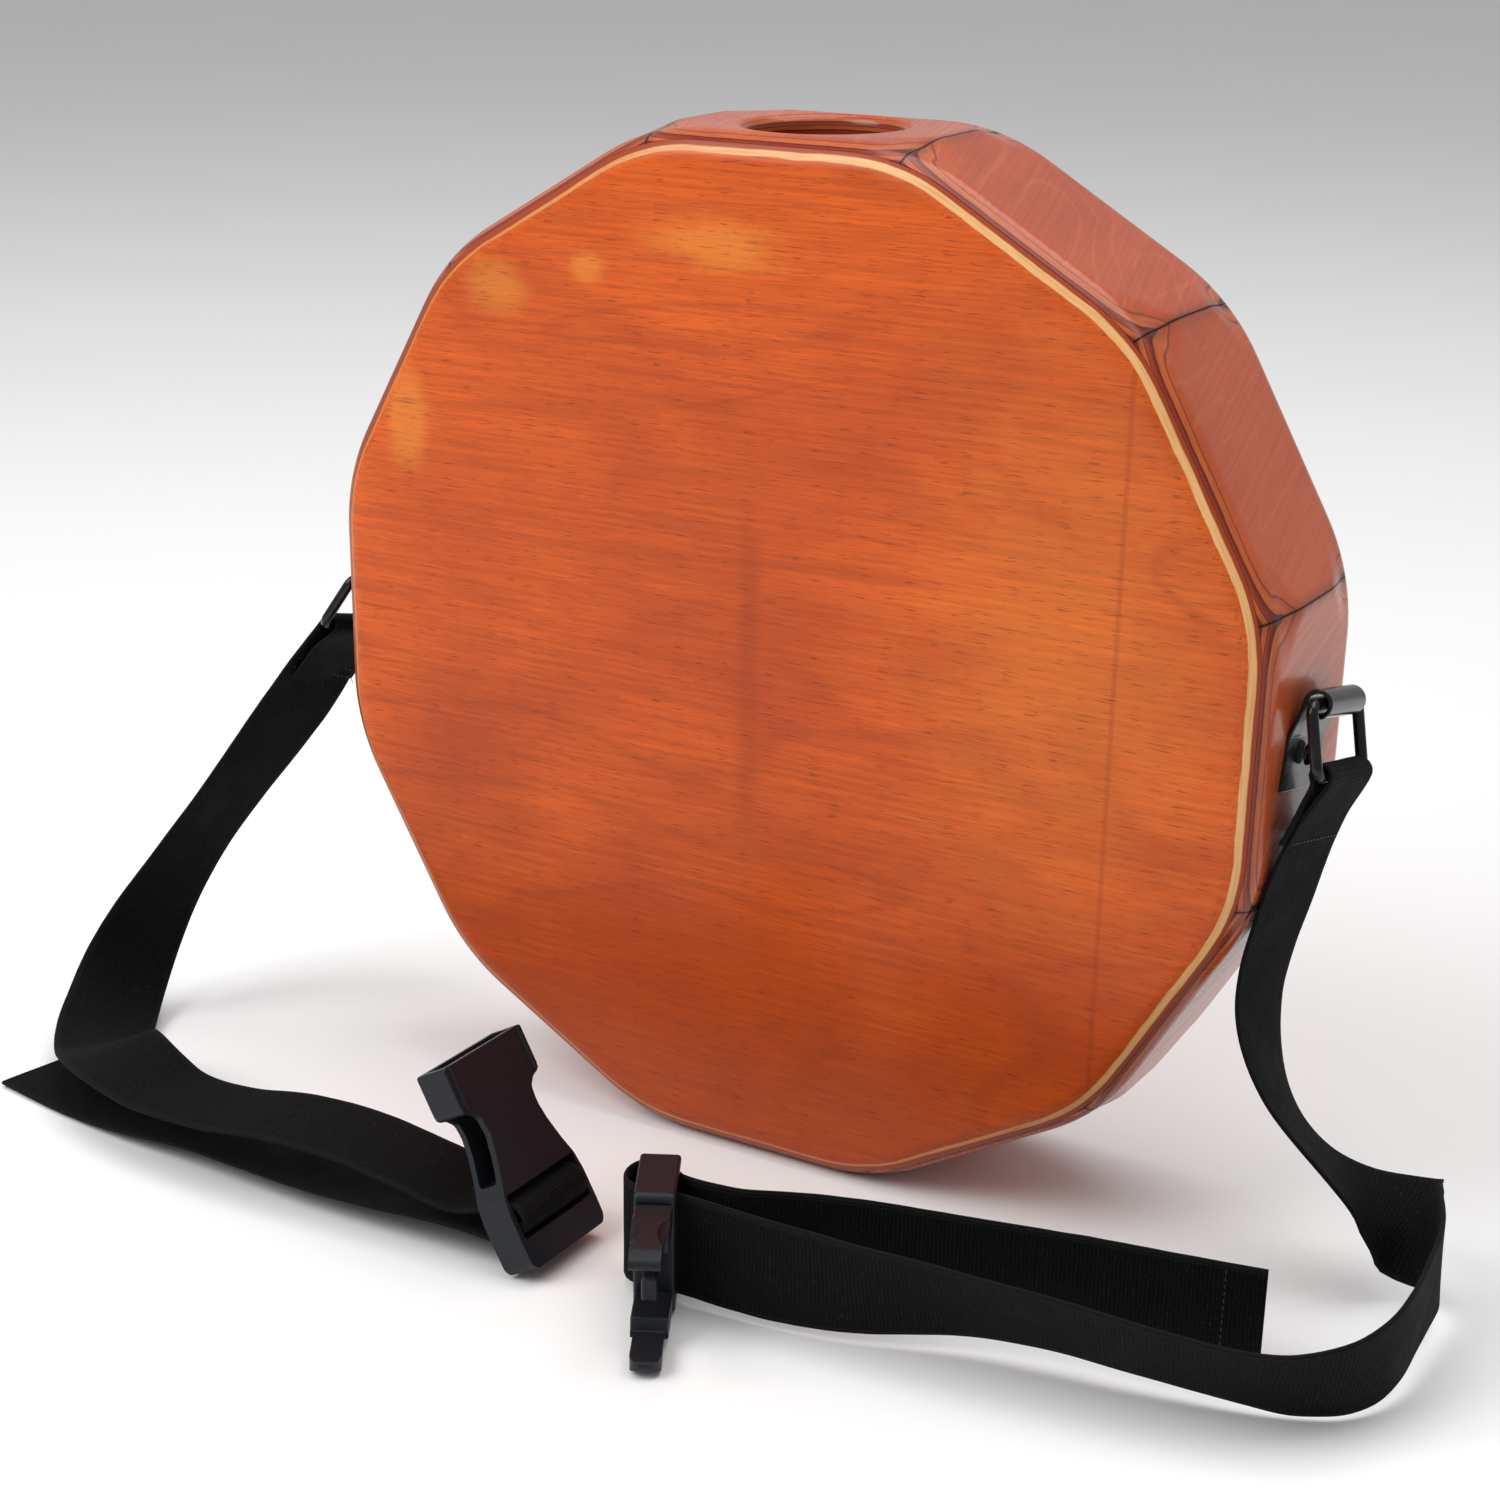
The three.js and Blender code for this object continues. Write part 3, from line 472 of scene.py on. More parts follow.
@dataclass(frozen=True)
class StaveFinish:
    """Red-brown gloss on the staves' outer veneer, with their plies where the rim cuts through it."""

    brown: Sequence[float] = (0.50, 0.068, 0.018)
    light: Sequence[float] = (0.60, 0.150, 0.045)
    dark: Sequence[float] = (0.19, 0.022, 0.008)
    seam: Sequence[float] = (0.035, 0.008, 0.005)
    veneer: float = 0.0010

    def plies(self, g: Graph, depth: Socket) -> Socket:
        """Colour of the layers at a depth below the outer face."""
        orange, red, deep, glue = (0.52, 0.105, 0.025), (0.36, 0.045, 0.014), (0.16, 0.018, 0.008), (0.05, 0.009, 0.005)
        stops = [(0.0, glue), (0.03, orange), (0.14, orange), (0.16, glue), (0.18, deep), (0.30, red), (0.32, glue),
                 (0.34, orange), (0.46, orange), (0.48, glue), (0.50, deep), (0.62, red), (0.64, glue), (0.66, orange),
                 (0.80, orange), (0.82, glue), (0.84, deep), (1.0, red)]
        return g.ramp(g.span_linear(depth, self.veneer, 0.0095), stops)

    def material(self) -> bpy.types.Material:
        """Returns the staves' material, which reads each board's own (along, across, depth)."""
        material, g = new_material("Stained_Stave")
        board = g.node("Attribute", attribute_name="board").outputs["Vector"]
        number = g.node("Attribute", attribute_name="number").outputs["Fac"]
        along, across, depth = g.split(board)
        shift = g.node("CombineXYZ", {0: g.math("MULTIPLY", number, 0.37), 1: g.math("MULTIPLY", number, 0.91)}).outputs[0]
        moved = g.node("VectorMath", {0: board, 1: shift}, operation="ADD").outputs[0]
        tilted = g.stretch(moved, (1, 1, 1), turn=(0, 0, 1.25))
        grain = g.group(GRAIN, {"Along": tilted, "Line Scale": 24.0, "Line Bend": 1.0})
        out = grain.outputs
        tone = g.mix(g.span(out["Cloud"], 0.25, 0.75), (*self.dark, 1), (*self.light, 1))
        tone = g.mix(0.62, tone, (*self.brown, 1))
        tone = g.mix(g.math("MULTIPLY", out["Line"], 0.26), tone, (0.62, 0.19, 0.06, 1))
        tone = g.mix(g.span(out["Streak"], 0.40, 0.62, 0.0, 0.3), tone, (*self.dark, 1))
        own = g.noise(shift, 3.0, 0.0)
        tone = g.mix(g.span(own, 0.3, 0.7, 0.0, 0.35), tone, (0.50, 0.10, 0.03, 1))
        wavy = g.math("MULTIPLY", g.math("SUBTRACT", g.noise(moved, 120.0, 3.0), 0.5), 0.0004)
        deep = g.math("ADD", depth, wavy)
        cut = g.span(deep, self.veneer - 0.0001, self.veneer + 0.0001)
        ply = self.plies(g, deep)
        fibre = g.noise(g.stretch(moved, (60, 60, 2600)), 1.0, 3.0)
        ply = g.mix(g.span(fibre, 0.35, 0.7, 0.0, 0.3), ply, (*self.seam, 1))
        tone = g.mix(cut, tone, ply)
        half = g.math("MULTIPLY", g.math("SUBTRACT", APOTHEM, depth), math.tan(STEP / 2))
        near = g.math("ADD", g.math("SUBTRACT", half, g.math("ABSOLUTE", along)), g.math("MULTIPLY", wavy, 2.0))
        line = g.span(near, 0.0003, 0.0011, 0.85, 0.0)
        halo = g.span(near, 0.0008, 0.005, 0.28, 0.0)
        tone = g.mix(g.math("MAXIMUM", line, halo), tone, (*self.seam, 1))
        rough = g.span(out["Streak"], 0.3, 0.7, 0.20, 0.34)
        normal = g.bump(out["Height"], 0.10, 0.0004)
        normal = g.bump(g.noise(board, 220.0, 2.0), 0.08, 0.0006, normal)
        fixed = {"Coat Weight": 0.22, "Coat Roughness": 0.10, "IOR": 1.45, "Specular IOR Level": 0.3}
        finish_surface(g, {"Base Color": tone, "Roughness": rough, "Normal": normal}, fixed)
        return material


@dataclass(frozen=True)
class BlackPaint:
    """Glossy black enamel on the brackets, rings and screws, with faint smudges and flecks."""

    name: str = "Black_Enamel"
    roughness: float = 0.14

    def material(self) -> bpy.types.Material:
        """Returns the enamel."""
        material, g = new_material(self.name)
        place = g.node("TexCoord").outputs["Object"]
        fleck = g.group(FLECK, {"Vector": place, "Scale": 900.0}).outputs
        tone = g.mix(g.span(fleck["Smudge"], 0.35, 0.75), (0.003, 0.003, 0.0035, 1), (0.009, 0.009, 0.010, 1))
        tone = g.mix(g.math("MULTIPLY", fleck["Fleck"], 0.12), tone, (0.06, 0.06, 0.06, 1))
        rough = g.span(fleck["Smudge"], 0.2, 0.8, self.roughness, self.roughness + 0.16)
        normal = g.bump(fleck["Skin"], 0.05, 0.0003)
        fixed = {"Coat Weight": 0.3, "Coat Roughness": 0.05, "IOR": 1.5, "Specular IOR Level": 0.2}
        finish_surface(g, {"Base Color": tone, "Roughness": rough, "Normal": normal}, fixed)
        return material


@dataclass(frozen=True)
class Moulding:
    """Matt black moulded plastic with a fine sparkling skin."""

    name: str = "Black_Moulding"
    cool: Sequence[float] = (0.0050, 0.0082, 0.0135)
    warm: Sequence[float] = (0.0072, 0.0085, 0.0120)

    def material(self) -> bpy.types.Material:
        """Returns the plastic."""
        material, g = new_material(self.name)
        place = g.node("TexCoord").outputs["Object"]
        fleck = g.group(FLECK, {"Vector": place, "Scale": 3200.0}).outputs
        tone = g.mix(g.span(fleck["Smudge"], 0.3, 0.7), (*self.cool, 1), (*self.warm, 1))
        tone = g.mix(g.math("MULTIPLY", fleck["Fleck"], 0.1), tone, (0.07, 0.07, 0.10, 1))
        rough = g.math("ADD", g.span(fleck["Skin"], 0.3, 0.7, 0.28, 0.5), g.span(fleck["Smudge"], 0.3, 0.8, 0.0, 0.08))
        normal = g.bump(fleck["Skin"], 0.22, 0.00025)
        fixed = {"IOR": 1.5, "Specular IOR Level": 0.28}
        finish_surface(g, {"Base Color": tone, "Roughness": rough, "Normal": normal}, fixed)
        return material


@dataclass(frozen=True)
class WebbingFinish:
    """Black webbing, woven smooth or ribbed with rubber cores, with painted shade in the weave's hollows."""

    name: str
    rib: float
    cord: float
    relief: float
    thread: Sequence[float] = (0.0030, 0.0030, 0.0033)

    def material(self) -> bpy.types.Material:
        """Returns the webbing, which reads the strap's own (across, along)."""
        material, g = new_material(self.name)
        weave = g.node("Attribute", attribute_name="weave").outputs["Vector"]
        out = g.group(WEAVE, {"Weave": weave, "Rib": self.rib, "Cord": self.cord, "Half": WEB / 2}).outputs
        fleck = g.group(FLECK, {"Vector": weave, "Scale": 1800.0}).outputs
        # Painted shade: the weave's hollows are darker and its raised threads paler, following the bump height
        tone = g.mix(g.span(out["Height"], -1.0, 1.0), (0.0012, 0.0012, 0.0014, 1), (*(c * 2.1 for c in self.thread), 1))
        tone = g.mix(g.span(out["Wear"], 0.45, 0.8, 0.0, 0.5), tone, (0.008, 0.008, 0.009, 1))
        tone = g.mix(g.math("MULTIPLY", fleck["Fleck"], 0.10), tone, (0.08, 0.08, 0.08, 1))
        tone = g.mix(g.math("MULTIPLY", out["Selvedge"], 0.3), tone, (0.014, 0.014, 0.015, 1))
        rough = g.span(out["Wear"], 0.2, 0.8, 0.72, 0.92)
        normal = g.bump(out["Height"], 0.6, self.relief)
        fixed = {"Sheen Weight": 0.01, "Sheen Roughness": 0.5, "Specular IOR Level": 0.08}
        finish_surface(g, {"Base Color": tone, "Roughness": rough, "Normal": normal}, fixed)
        return material


@dataclass(frozen=True)
class ThreadFinish:
    """Twisted black sewing thread and loose ends."""

    name: str = "Black_Thread"

    def material(self) -> bpy.types.Material:
        """Returns the thread."""
        material, g = new_material(self.name)
        place = g.node("TexCoord").outputs["Object"]
        twist = g.noise(place, 2600.0, 2.0)
        tone = g.mix(g.span(twist, 0.35, 0.65), (0.003, 0.003, 0.0035, 1), (0.016, 0.016, 0.018, 1))
        normal = g.bump(twist, 0.5, 0.0002)
        rough = g.span(twist, 0.3, 0.7, 0.5, 0.75)
        finish_surface(g, {"Base Color": tone, "Roughness": rough, "Normal": normal}, {"Sheen Weight": 0.15})
        return material


# ---------------------------------------------------------------- mesh helpers


def millimetres(*values: float) -> Vector:
    """Returns millimetres as a vector in metres."""
    return Vector(values) / 1000


def as_piece(bm: bmesh.types.BMesh, name: str, material: bpy.types.Material, body: str, nodes: Sequence[str] = (), crease: float = 32.0) -> bpy.types.Object:
    """Turns a bmesh into a finished piece that rides on a body.

    Args:
        bm: the mesh, in the object's frame, which is freed.
        name: the piece's name.
        material: its finish.
        body: the body that it rides on, or nothing where it bends between two.
        nodes: the CAD nodes that it stands for.
        crease: the angle in degrees past which an edge stays sharp.

    Returns:
        The new object.
    """
    bmesh.ops.recalc_face_normals(bm, faces=bm.faces)
    if nodes:
        name = f"{name}_made"
    mesh = bpy.data.meshes.new(name)
    bm.to_mesh(mesh)
    bm.free()
    mesh.shade_smooth()
    mesh.set_sharp_from_angle(angle=math.radians(crease))
    mesh.materials.append(material)
    made = bpy.data.objects.new(name, mesh)
    bpy.context.scene.collection.objects.link(made)
    if nodes:
        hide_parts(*nodes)
    if body:
        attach(made, body)
    LOG.info("%s: %d faces", name, len(mesh.polygons))
    return made


def soften(piece: bpy.types.Object, width: float, segments: int = 2) -> None:
    """Rounds a piece's sharp edges a little and evens its shading."""
    bevel = piece.modifiers.new("Edges", "BEVEL")
    bevel.width = width
    bevel.segments = segments
    bevel.limit_method = "ANGLE"
    bevel.angle_limit = math.radians(35)
    bevel.use_clamp_overlap = True
    even_shading(piece)


def even_shading(piece: bpy.types.Object) -> None:
    """Weights a piece's normals by face area, so that flats stay flat beside their round-overs."""
    weighted = piece.modifiers.new("Flats", "WEIGHTED_NORMAL")
    weighted.keep_sharp = True


def combined(base: bmesh.types.BMesh, tool: bmesh.types.BMesh, operation: str) -> bmesh.types.BMesh:
    """Cuts or joins two closed meshes.

    Args:
        base: the mesh that is changed, which is freed.
        tool: the mesh that cuts or joins it, which is freed.
        operation: DIFFERENCE, UNION or INTERSECT.

    Returns:
        The result as a new bmesh.
    """
    holders = []
    for bm in (base, tool):
        bmesh.ops.recalc_face_normals(bm, faces=bm.faces)
        mesh = bpy.data.meshes.new("Blank")
        bm.to_mesh(mesh)
        bm.free()
        holder = bpy.data.objects.new("Blank", mesh)
        bpy.context.scene.collection.objects.link(holder)
        holders.append(holder)
    cut = holders[0].modifiers.new("Cut", "BOOLEAN")
    cut.operation = operation
    cut.solver = "EXACT"
    cut.object = holders[1]
    shown = bpy.context.evaluated_depsgraph_get()
    shown.update()
    result = bmesh.new()
    result.from_mesh(bpy.data.meshes.new_from_object(holders[0].evaluated_get(shown)))
    for holder in holders:
        bpy.data.objects.remove(holder)
    bmesh.ops.dissolve_limit(result, angle_limit=0.01, verts=result.verts, edges=result.edges)
    return result


def bar_of(start: Vector, end: Vector, radius: float, segments: int = 20) -> bmesh.types.BMesh:
    """Returns a closed round bar between two points."""
    bm = bmesh.new()
    along = end - start
    turn = along.to_track_quat("Z", "Y").to_matrix().to_4x4()
    place = Matrix.Translation((start + end) / 2) @ turn
    bmesh.ops.create_cone(bm, cap_ends=True, segments=segments, radius1=radius, radius2=radius, depth=along.length,
                          matrix=place)
    return bm


def block(low: Vector, high: Vector, round_off: float = 0.0) -> bmesh.types.BMesh:
    """Returns a box from corner to corner, with its edges rounded."""
    bm = bmesh.new()
    size = high - low
    bmesh.ops.create_cube(bm, size=1.0, matrix=Matrix.Translation((low + high) / 2) @ Matrix.Diagonal((*size, 1)))
    if round_off:
        bmesh.ops.bevel(bm, geom=bm.edges[:], offset=round_off, segments=4, profile=0.5, affect="EDGES", material=-1)
    return bm


def slab(outline: Sequence[Pair], low: float, high: float, corner: float, edge: float) -> bmesh.types.BMesh:
    """A flat piece cut to an outline.

    Args:
        outline: its corners (a, b) in metres.
        low: the height of its underside.
        high: the height of its top.
        corner: how far each corner of the outline is rounded.
        edge: how far the edges of its two faces are rounded.

    Returns:
        The closed slab, with the outline in X and Y and its height along Z.
    """
    bm = bmesh.new()
    face = bm.faces.new([bm.verts.new((a, b, low)) for a, b in outline])
    bmesh.ops.bevel(bm, geom=face.verts[:], offset=corner, segments=3, profile=0.5, affect="VERTICES", material=-1,
                    clamp_overlap=True)
    raised = bmesh.ops.extrude_face_region(bm, geom=bm.faces[:])["geom"]
    bmesh.ops.translate(bm, vec=(0, 0, high - low), verts=[v for v in raised if isinstance(v, bmesh.types.BMVert)])
    bmesh.ops.recalc_face_normals(bm, faces=bm.faces)
    rims = [e for e in bm.edges if all(abs(v.co.z - e.verts[0].co.z) < 1e-7 for v in e.verts)]
    bmesh.ops.bevel(bm, geom=rims, offset=edge, segments=3, profile=0.5, affect="EDGES", material=-1, clamp_overlap=True)
    return bm


def mirrored(half: Sequence[Pair], swap: bool = False) -> list[Pair]:
    """Mirrors a half outline to its other side and returns the whole one."""
    return list(half) + [(a, -b) if swap else (-a, b) for a, b in reversed(half)]


def close_holes(bm: bmesh.types.BMesh) -> None:
    """Fills every open loop with one face."""
    bmesh.ops.holes_fill(bm, edges=[e for e in bm.edges if e.is_boundary], sides=0)


def smoothstep(value: float, low: float, high: float) -> float:
    """Returns 0 below low, 1 above high and a smooth climb between."""
    share = min(max((value - low) / (high - low), 0.0), 1.0)
    return share * share * (3 - 2 * share)


# ---------------------------------------------------------------------- studio


@dataclass
class Studio:
    """The plain pale floor, the soft lights and the camera."""

    eye: Vector
    ahead: Vector
    lens: float = 67.0
    shift: Pair = (0.0667, 0.100)
    room: float = 0.45

    def build(self) -> None:
        """Makes the camera, the floor, the sky and the lamps."""
        bpy.context.scene.view_settings.view_transform = "Standard"
        self.camera()
        self.floor()
        self.sky()
        self.lamp("Key", (-1.1, -1.5, 1.9), 1.6, 42.0)
        self.lamp("Top", (0.3, 0.3, 2.2), 1.8, 30.0)

    def camera(self) -> None:
        """Places the camera."""
        data = bpy.data.cameras.new("Camera")
        data.lens = self.lens
        data.sensor_width = 36.0
        data.shift_x, data.shift_y = self.shift
        made = bpy.data.objects.new("Camera", data)
        right = self.ahead.cross(Vector((0, 0, 1))).normalized()
        up = right.cross(self.ahead)
        turn = Matrix((right, up, -self.ahead)).transposed().to_4x4()
        made.matrix_world = Matrix.Translation(self.eye) @ turn
        bpy.context.scene.collection.objects.link(made)
        bpy.context.scene.camera = made

    def floor(self) -> None:
        """Lays the pale floor."""
        bm = bmesh.new()
        bmesh.ops.create_grid(bm, x_segments=1, y_segments=1, size=25.0, matrix=Matrix.Translation((0, 0, -0.0003)))
        mesh = bpy.data.meshes.new("Floor")
        bm.to_mesh(mesh)
        bm.free()
        material, g = new_material("Floor_Paper")
        place = g.node("TexCoord").outputs["Object"]
        tone = g.mix(g.noise(place, 3.0), (0.84, 0.84, 0.84, 1), (0.88, 0.88, 0.88, 1))
        finish_surface(g, {"Base Color": tone}, {"Roughness": 0.8})
        mesh.materials.append(material)
        made = bpy.data.objects.new("Floor", mesh)
        bpy.context.scene.collection.objects.link(made)

    def sky(self) -> None:
        """Lights the room evenly, and shows it brighter than it shines."""
        world = bpy.data.worlds.new("Room")
        world.use_nodes = True
        nodes, links = world.node_tree.nodes, world.node_tree.links
        seen = nodes.new("ShaderNodeLightPath")
        level = nodes.new("ShaderNodeMapRange")
        level.inputs[3].default_value, level.inputs[4].default_value = self.room, 0.97
        links.new(seen.outputs["Is Camera Ray"], level.inputs[0])
        links.new(level.outputs[0], nodes["Background"].inputs[1])
        nodes["Background"].inputs[0].default_value = (1, 1, 1, 1)
        bpy.context.scene.world = world

    def lamp(self, name: str, place: Sequence[float], size: float, power: float) -> None:
        """Hangs a soft square lamp that points at the drum."""
        data = bpy.data.lights.new(name, "AREA")
        data.size = size
        data.energy = power
        made = bpy.data.objects.new(name, data)
        made.location = place
        made.rotation_euler = (Vector((0, 0, 0.15)) - Vector(place)).to_track_quat("-Z", "Y").to_euler()
        bpy.context.scene.collection.objects.link(made)


# ---------------------------------------------------------------------- mounts


@dataclass(frozen=True)
class Mount:
    """Where one bracket sits on the drum, and how its ring hangs."""

    side: Side
    rise: float
    tilt: float
    swing: float
    lie: float

    @property
    def sign(self) -> int:
        """Plus one on the right and minus one on the left."""
        return 1 if self.side is Side.RIGHT else -1

    def frame(self) -> Matrix:
        """Returns the bracket's frame: X out of the stave, Y along the curl, Z up the plate."""
        place = Matrix.Translation((self.sign * APOTHEM, 0, self.rise))
        turn = Matrix.Rotation(math.radians(-self.tilt), 4, "X")
        return place @ turn @ (Matrix.Identity(4) if self.sign > 0 else Matrix.Rotation(math.pi, 4, "Z"))

    def ring_bar(self) -> Vector:
        """Returns the middle of the ring's low bar."""
        swing = math.radians(self.swing)
        return self.frame() @ Vector((CURL_OUT + RING_DROP * math.sin(swing), 0, -RING_DROP * math.cos(swing)))

    def loop_rows(self) -> list[Row]:
        """Returns the rows of the strap's turn round the ring's low bar, from its sewn end."""
        down = Vector((math.sin(math.radians(self.swing)), 0, -math.cos(math.radians(self.swing))))
        bar = Vector((CURL_OUT, 0, 0)) + down * RING_DROP
        turn = WIRE + 0.0008 + WEB_T / 2
        frame_here = self.frame()
        across = frame_here.to_3x3() @ Vector((0, self.sign, 0))
        spots = [(turn + self.lie * away / 1000 - gap / 1000, -away / 1000)
                 for away, gap in ((24, 2.7), (17, 3.0), (10, 3.9))]
        for degrees in (225, 180, 135, 90, 45, 0):
            angle = math.radians(degrees)
            spots.append((turn * math.cos(angle), turn * math.sin(angle)))
        places = [frame_here @ Vector((bar.x + out, 0, bar.z + up)) for out, up in spots]
        return [(*place, *across) for place in places]


RIGHT_MOUNT = Mount(Side.RIGHT, 0.2010, 12.3, 14.0, -0.44)
LEFT_MOUNT = Mount(Side.LEFT, 0.1835, 14.0, 31.0, 0.60)


# ---------------------------------------------------------------------- straps


def curve_point(p: Sequence[Vector], share: float) -> Vector:
    """Returns a point on the centripetal curve between the middle two of four points."""
    gaps = [(p[i + 1] - p[i]).length ** 0.5 for i in range(3)]
    middle = gaps[1] if gaps[1] > 1e-4 else 1.0
    first = gaps[0] if gaps[0] > 1e-4 else middle
    last = gaps[2] if gaps[2] > 1e-4 else middle
    leave = (p[1] - p[0]) / first - (p[2] - p[0]) / (first + middle) + (p[2] - p[1]) / middle
    arrive = (p[2] - p[1]) / middle - (p[3] - p[1]) / (middle + last) + (p[3] - p[2]) / last
    leave, arrive = leave * middle, arrive * middle
    square = -3 * p[1] + 3 * p[2] - 2 * leave - arrive
    cube = 2 * p[1] - 2 * p[2] + leave + arrive
    return p[1] + leave * share + square * share**2 + cube * share**3


def curve(points: Sequence[Vector], steps: Sequence[int]) -> list[Vector]:
    """Runs a smooth curve through points.

    Args:
        points: the points, in order.
        steps: how many pieces each stretch is cut into.

    Returns:
        The curve's points, both ends included.
    """
    ends = [2 * points[0] - points[1], *points, 2 * points[-1] - points[-2]]
    found = []
    for i, count in enumerate(steps):
        found += [curve_point(ends[i:i + 4], k / count) for k in range(count)]
    return [*found, points[-1]]


@dataclass
class Strap:
    """A length of flat webbing, laid along given rows."""

    name: str
    nodes: Sequence[str]
    mount: "Mount"
    rows: Sequence[Row]
    seed: float
    give: float = 0.085
    station: float = 0.0028
    across_steps: int = 14

    def __post_init__(self) -> None:
        """Works out the stations from the rows."""
        points = [Vector(row[:3]) for row in self.rows]
        spans = [Vector(row[3:]).normalized() for row in self.rows]
        steps = [max(2, round((b - a).length / self.station)) for a, b in zip(points, points[1:])]
        self.path = curve(points, steps)
        widths = self.evened(curve(spans, steps))
        self.along = [0.0]
        for a, b in zip(self.path, self.path[1:]):
            self.along.append(self.along[-1] + (b - a).length)
        self.frames = []
        last = len(self.path) - 1
        for i, span in enumerate(widths):
            ahead = (self.path[min(i + 1, last)] - self.path[max(i - 1, 0)]).normalized()
            across = (span - ahead * span.dot(ahead)).normalized()
            self.frames.append((across, ahead.cross(across)))

    def evened(self, spans: list[Vector], reach: int = 5, rounds: int = 3) -> list[Vector]:
        """Evens out the way the width turns, as stiff webbing does, and returns the new directions."""
        last = len(spans) - 1
        for _ in range(rounds):
            near = [spans[max(i - reach, 0):min(i + reach, last) + 1] for i in range(last + 1)]
            spans = [sum(group, Vector()).normalized() for group in near]
        return spans

    @property
    def length(self) -> float:
        """The strap's real length."""
        return self.along[-1]

    def section(self) -> list[Pair]:
        """Returns the flat section with round edges, as (across, out) pairs."""
        half, thick = WEB / 2, WEB_T / 2
        flat = half - thick
        top = [(flat * (2 * i / self.across_steps - 1), thick) for i in range(self.across_steps + 1)]
        edge = [(flat + thick * math.cos(a), thick * math.sin(a)) for a in (math.pi / 4, 0, -math.pi / 4)]
        return top + edge + [(-a, -b) for a, b in top] + [(-a, -b) for a, b in edge]

    def spot(self, i: int, a: float, b: float) -> Vector:
        """Returns the place of one section point at a station."""
        across, out = self.frames[i]
        along = self.along[i]
        sway = 0.00016 * noise.noise(Vector((along * 45, self.seed, a * 60)))
        fray = 1 + 0.008 * noise.noise(Vector((along * 110, self.seed + 5, math.copysign(3, a))))
        return self.path[i] + across * (a * fray) + out * (b + sway)

    def point(self, along: float, a: float, lift: float) -> Vector:
        """Returns a place on the strap at a length along it, across it, and above its middle line."""
        i = min(range(len(self.along)), key=lambda k: abs(self.along[k] - along))
        across, out = self.frames[i]
        ahead = across.cross(out)
        return self.path[i] + across * a + out * lift + ahead * (along - self.along[i])

    def build(self, material: bpy.types.Material) -> bpy.types.Object:
        """Makes the strap, which hangs from its ring."""
        bm = bmesh.new()
        weave = bm.verts.layers.float_vector.new("weave")
        section = self.section()
        loop = [bm.verts.new(self.spot(0, a, b)) for a, b in section]
        for vert, (a, b) in zip(loop, section):
            vert[weave] = (a, 0.0, b)
        edges = [bm.edges.new((loop[k - 1], loop[k])) for k in range(len(loop))]
        for i in range(1, len(self.path)):
            order = {vert.co.to_tuple(6): k for k, vert in enumerate(loop)}
            made = bmesh.ops.extrude_edge_only(bm, edges=edges)["geom"]
            edges = [e for e in made if isinstance(e, bmesh.types.BMEdge)]
            fresh = {order[v.co.to_tuple(6)]: v for v in made if isinstance(v, bmesh.types.BMVert)}
            loop = [fresh[k] for k in range(len(section))]
            edges = [bm.edges.get((loop[k - 1], loop[k])) for k in range(len(loop))]
            for vert, (a, b) in zip(loop, section):
                vert.co = self.spot(i, a, b)
                vert[weave] = (a, self.along[i], b)
        close_holes(bm)
        self.piece = as_piece(bm, self.name, material, "", self.nodes, crease=60)
        return self.hung(self.piece)

    def hung(self, piece: bpy.types.Object) -> bpy.types.Object:
        """Bakes a piece's transform into its mesh and returns it."""
        start = self.mount.ring_bar() - Vector((0, 0, 0.004))
        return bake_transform(piece)

    def declare(self) -> None:
        """Logs how long the strap is."""
        LOG.info("%s is %.0f mm long", self.name, self.length * 1000)


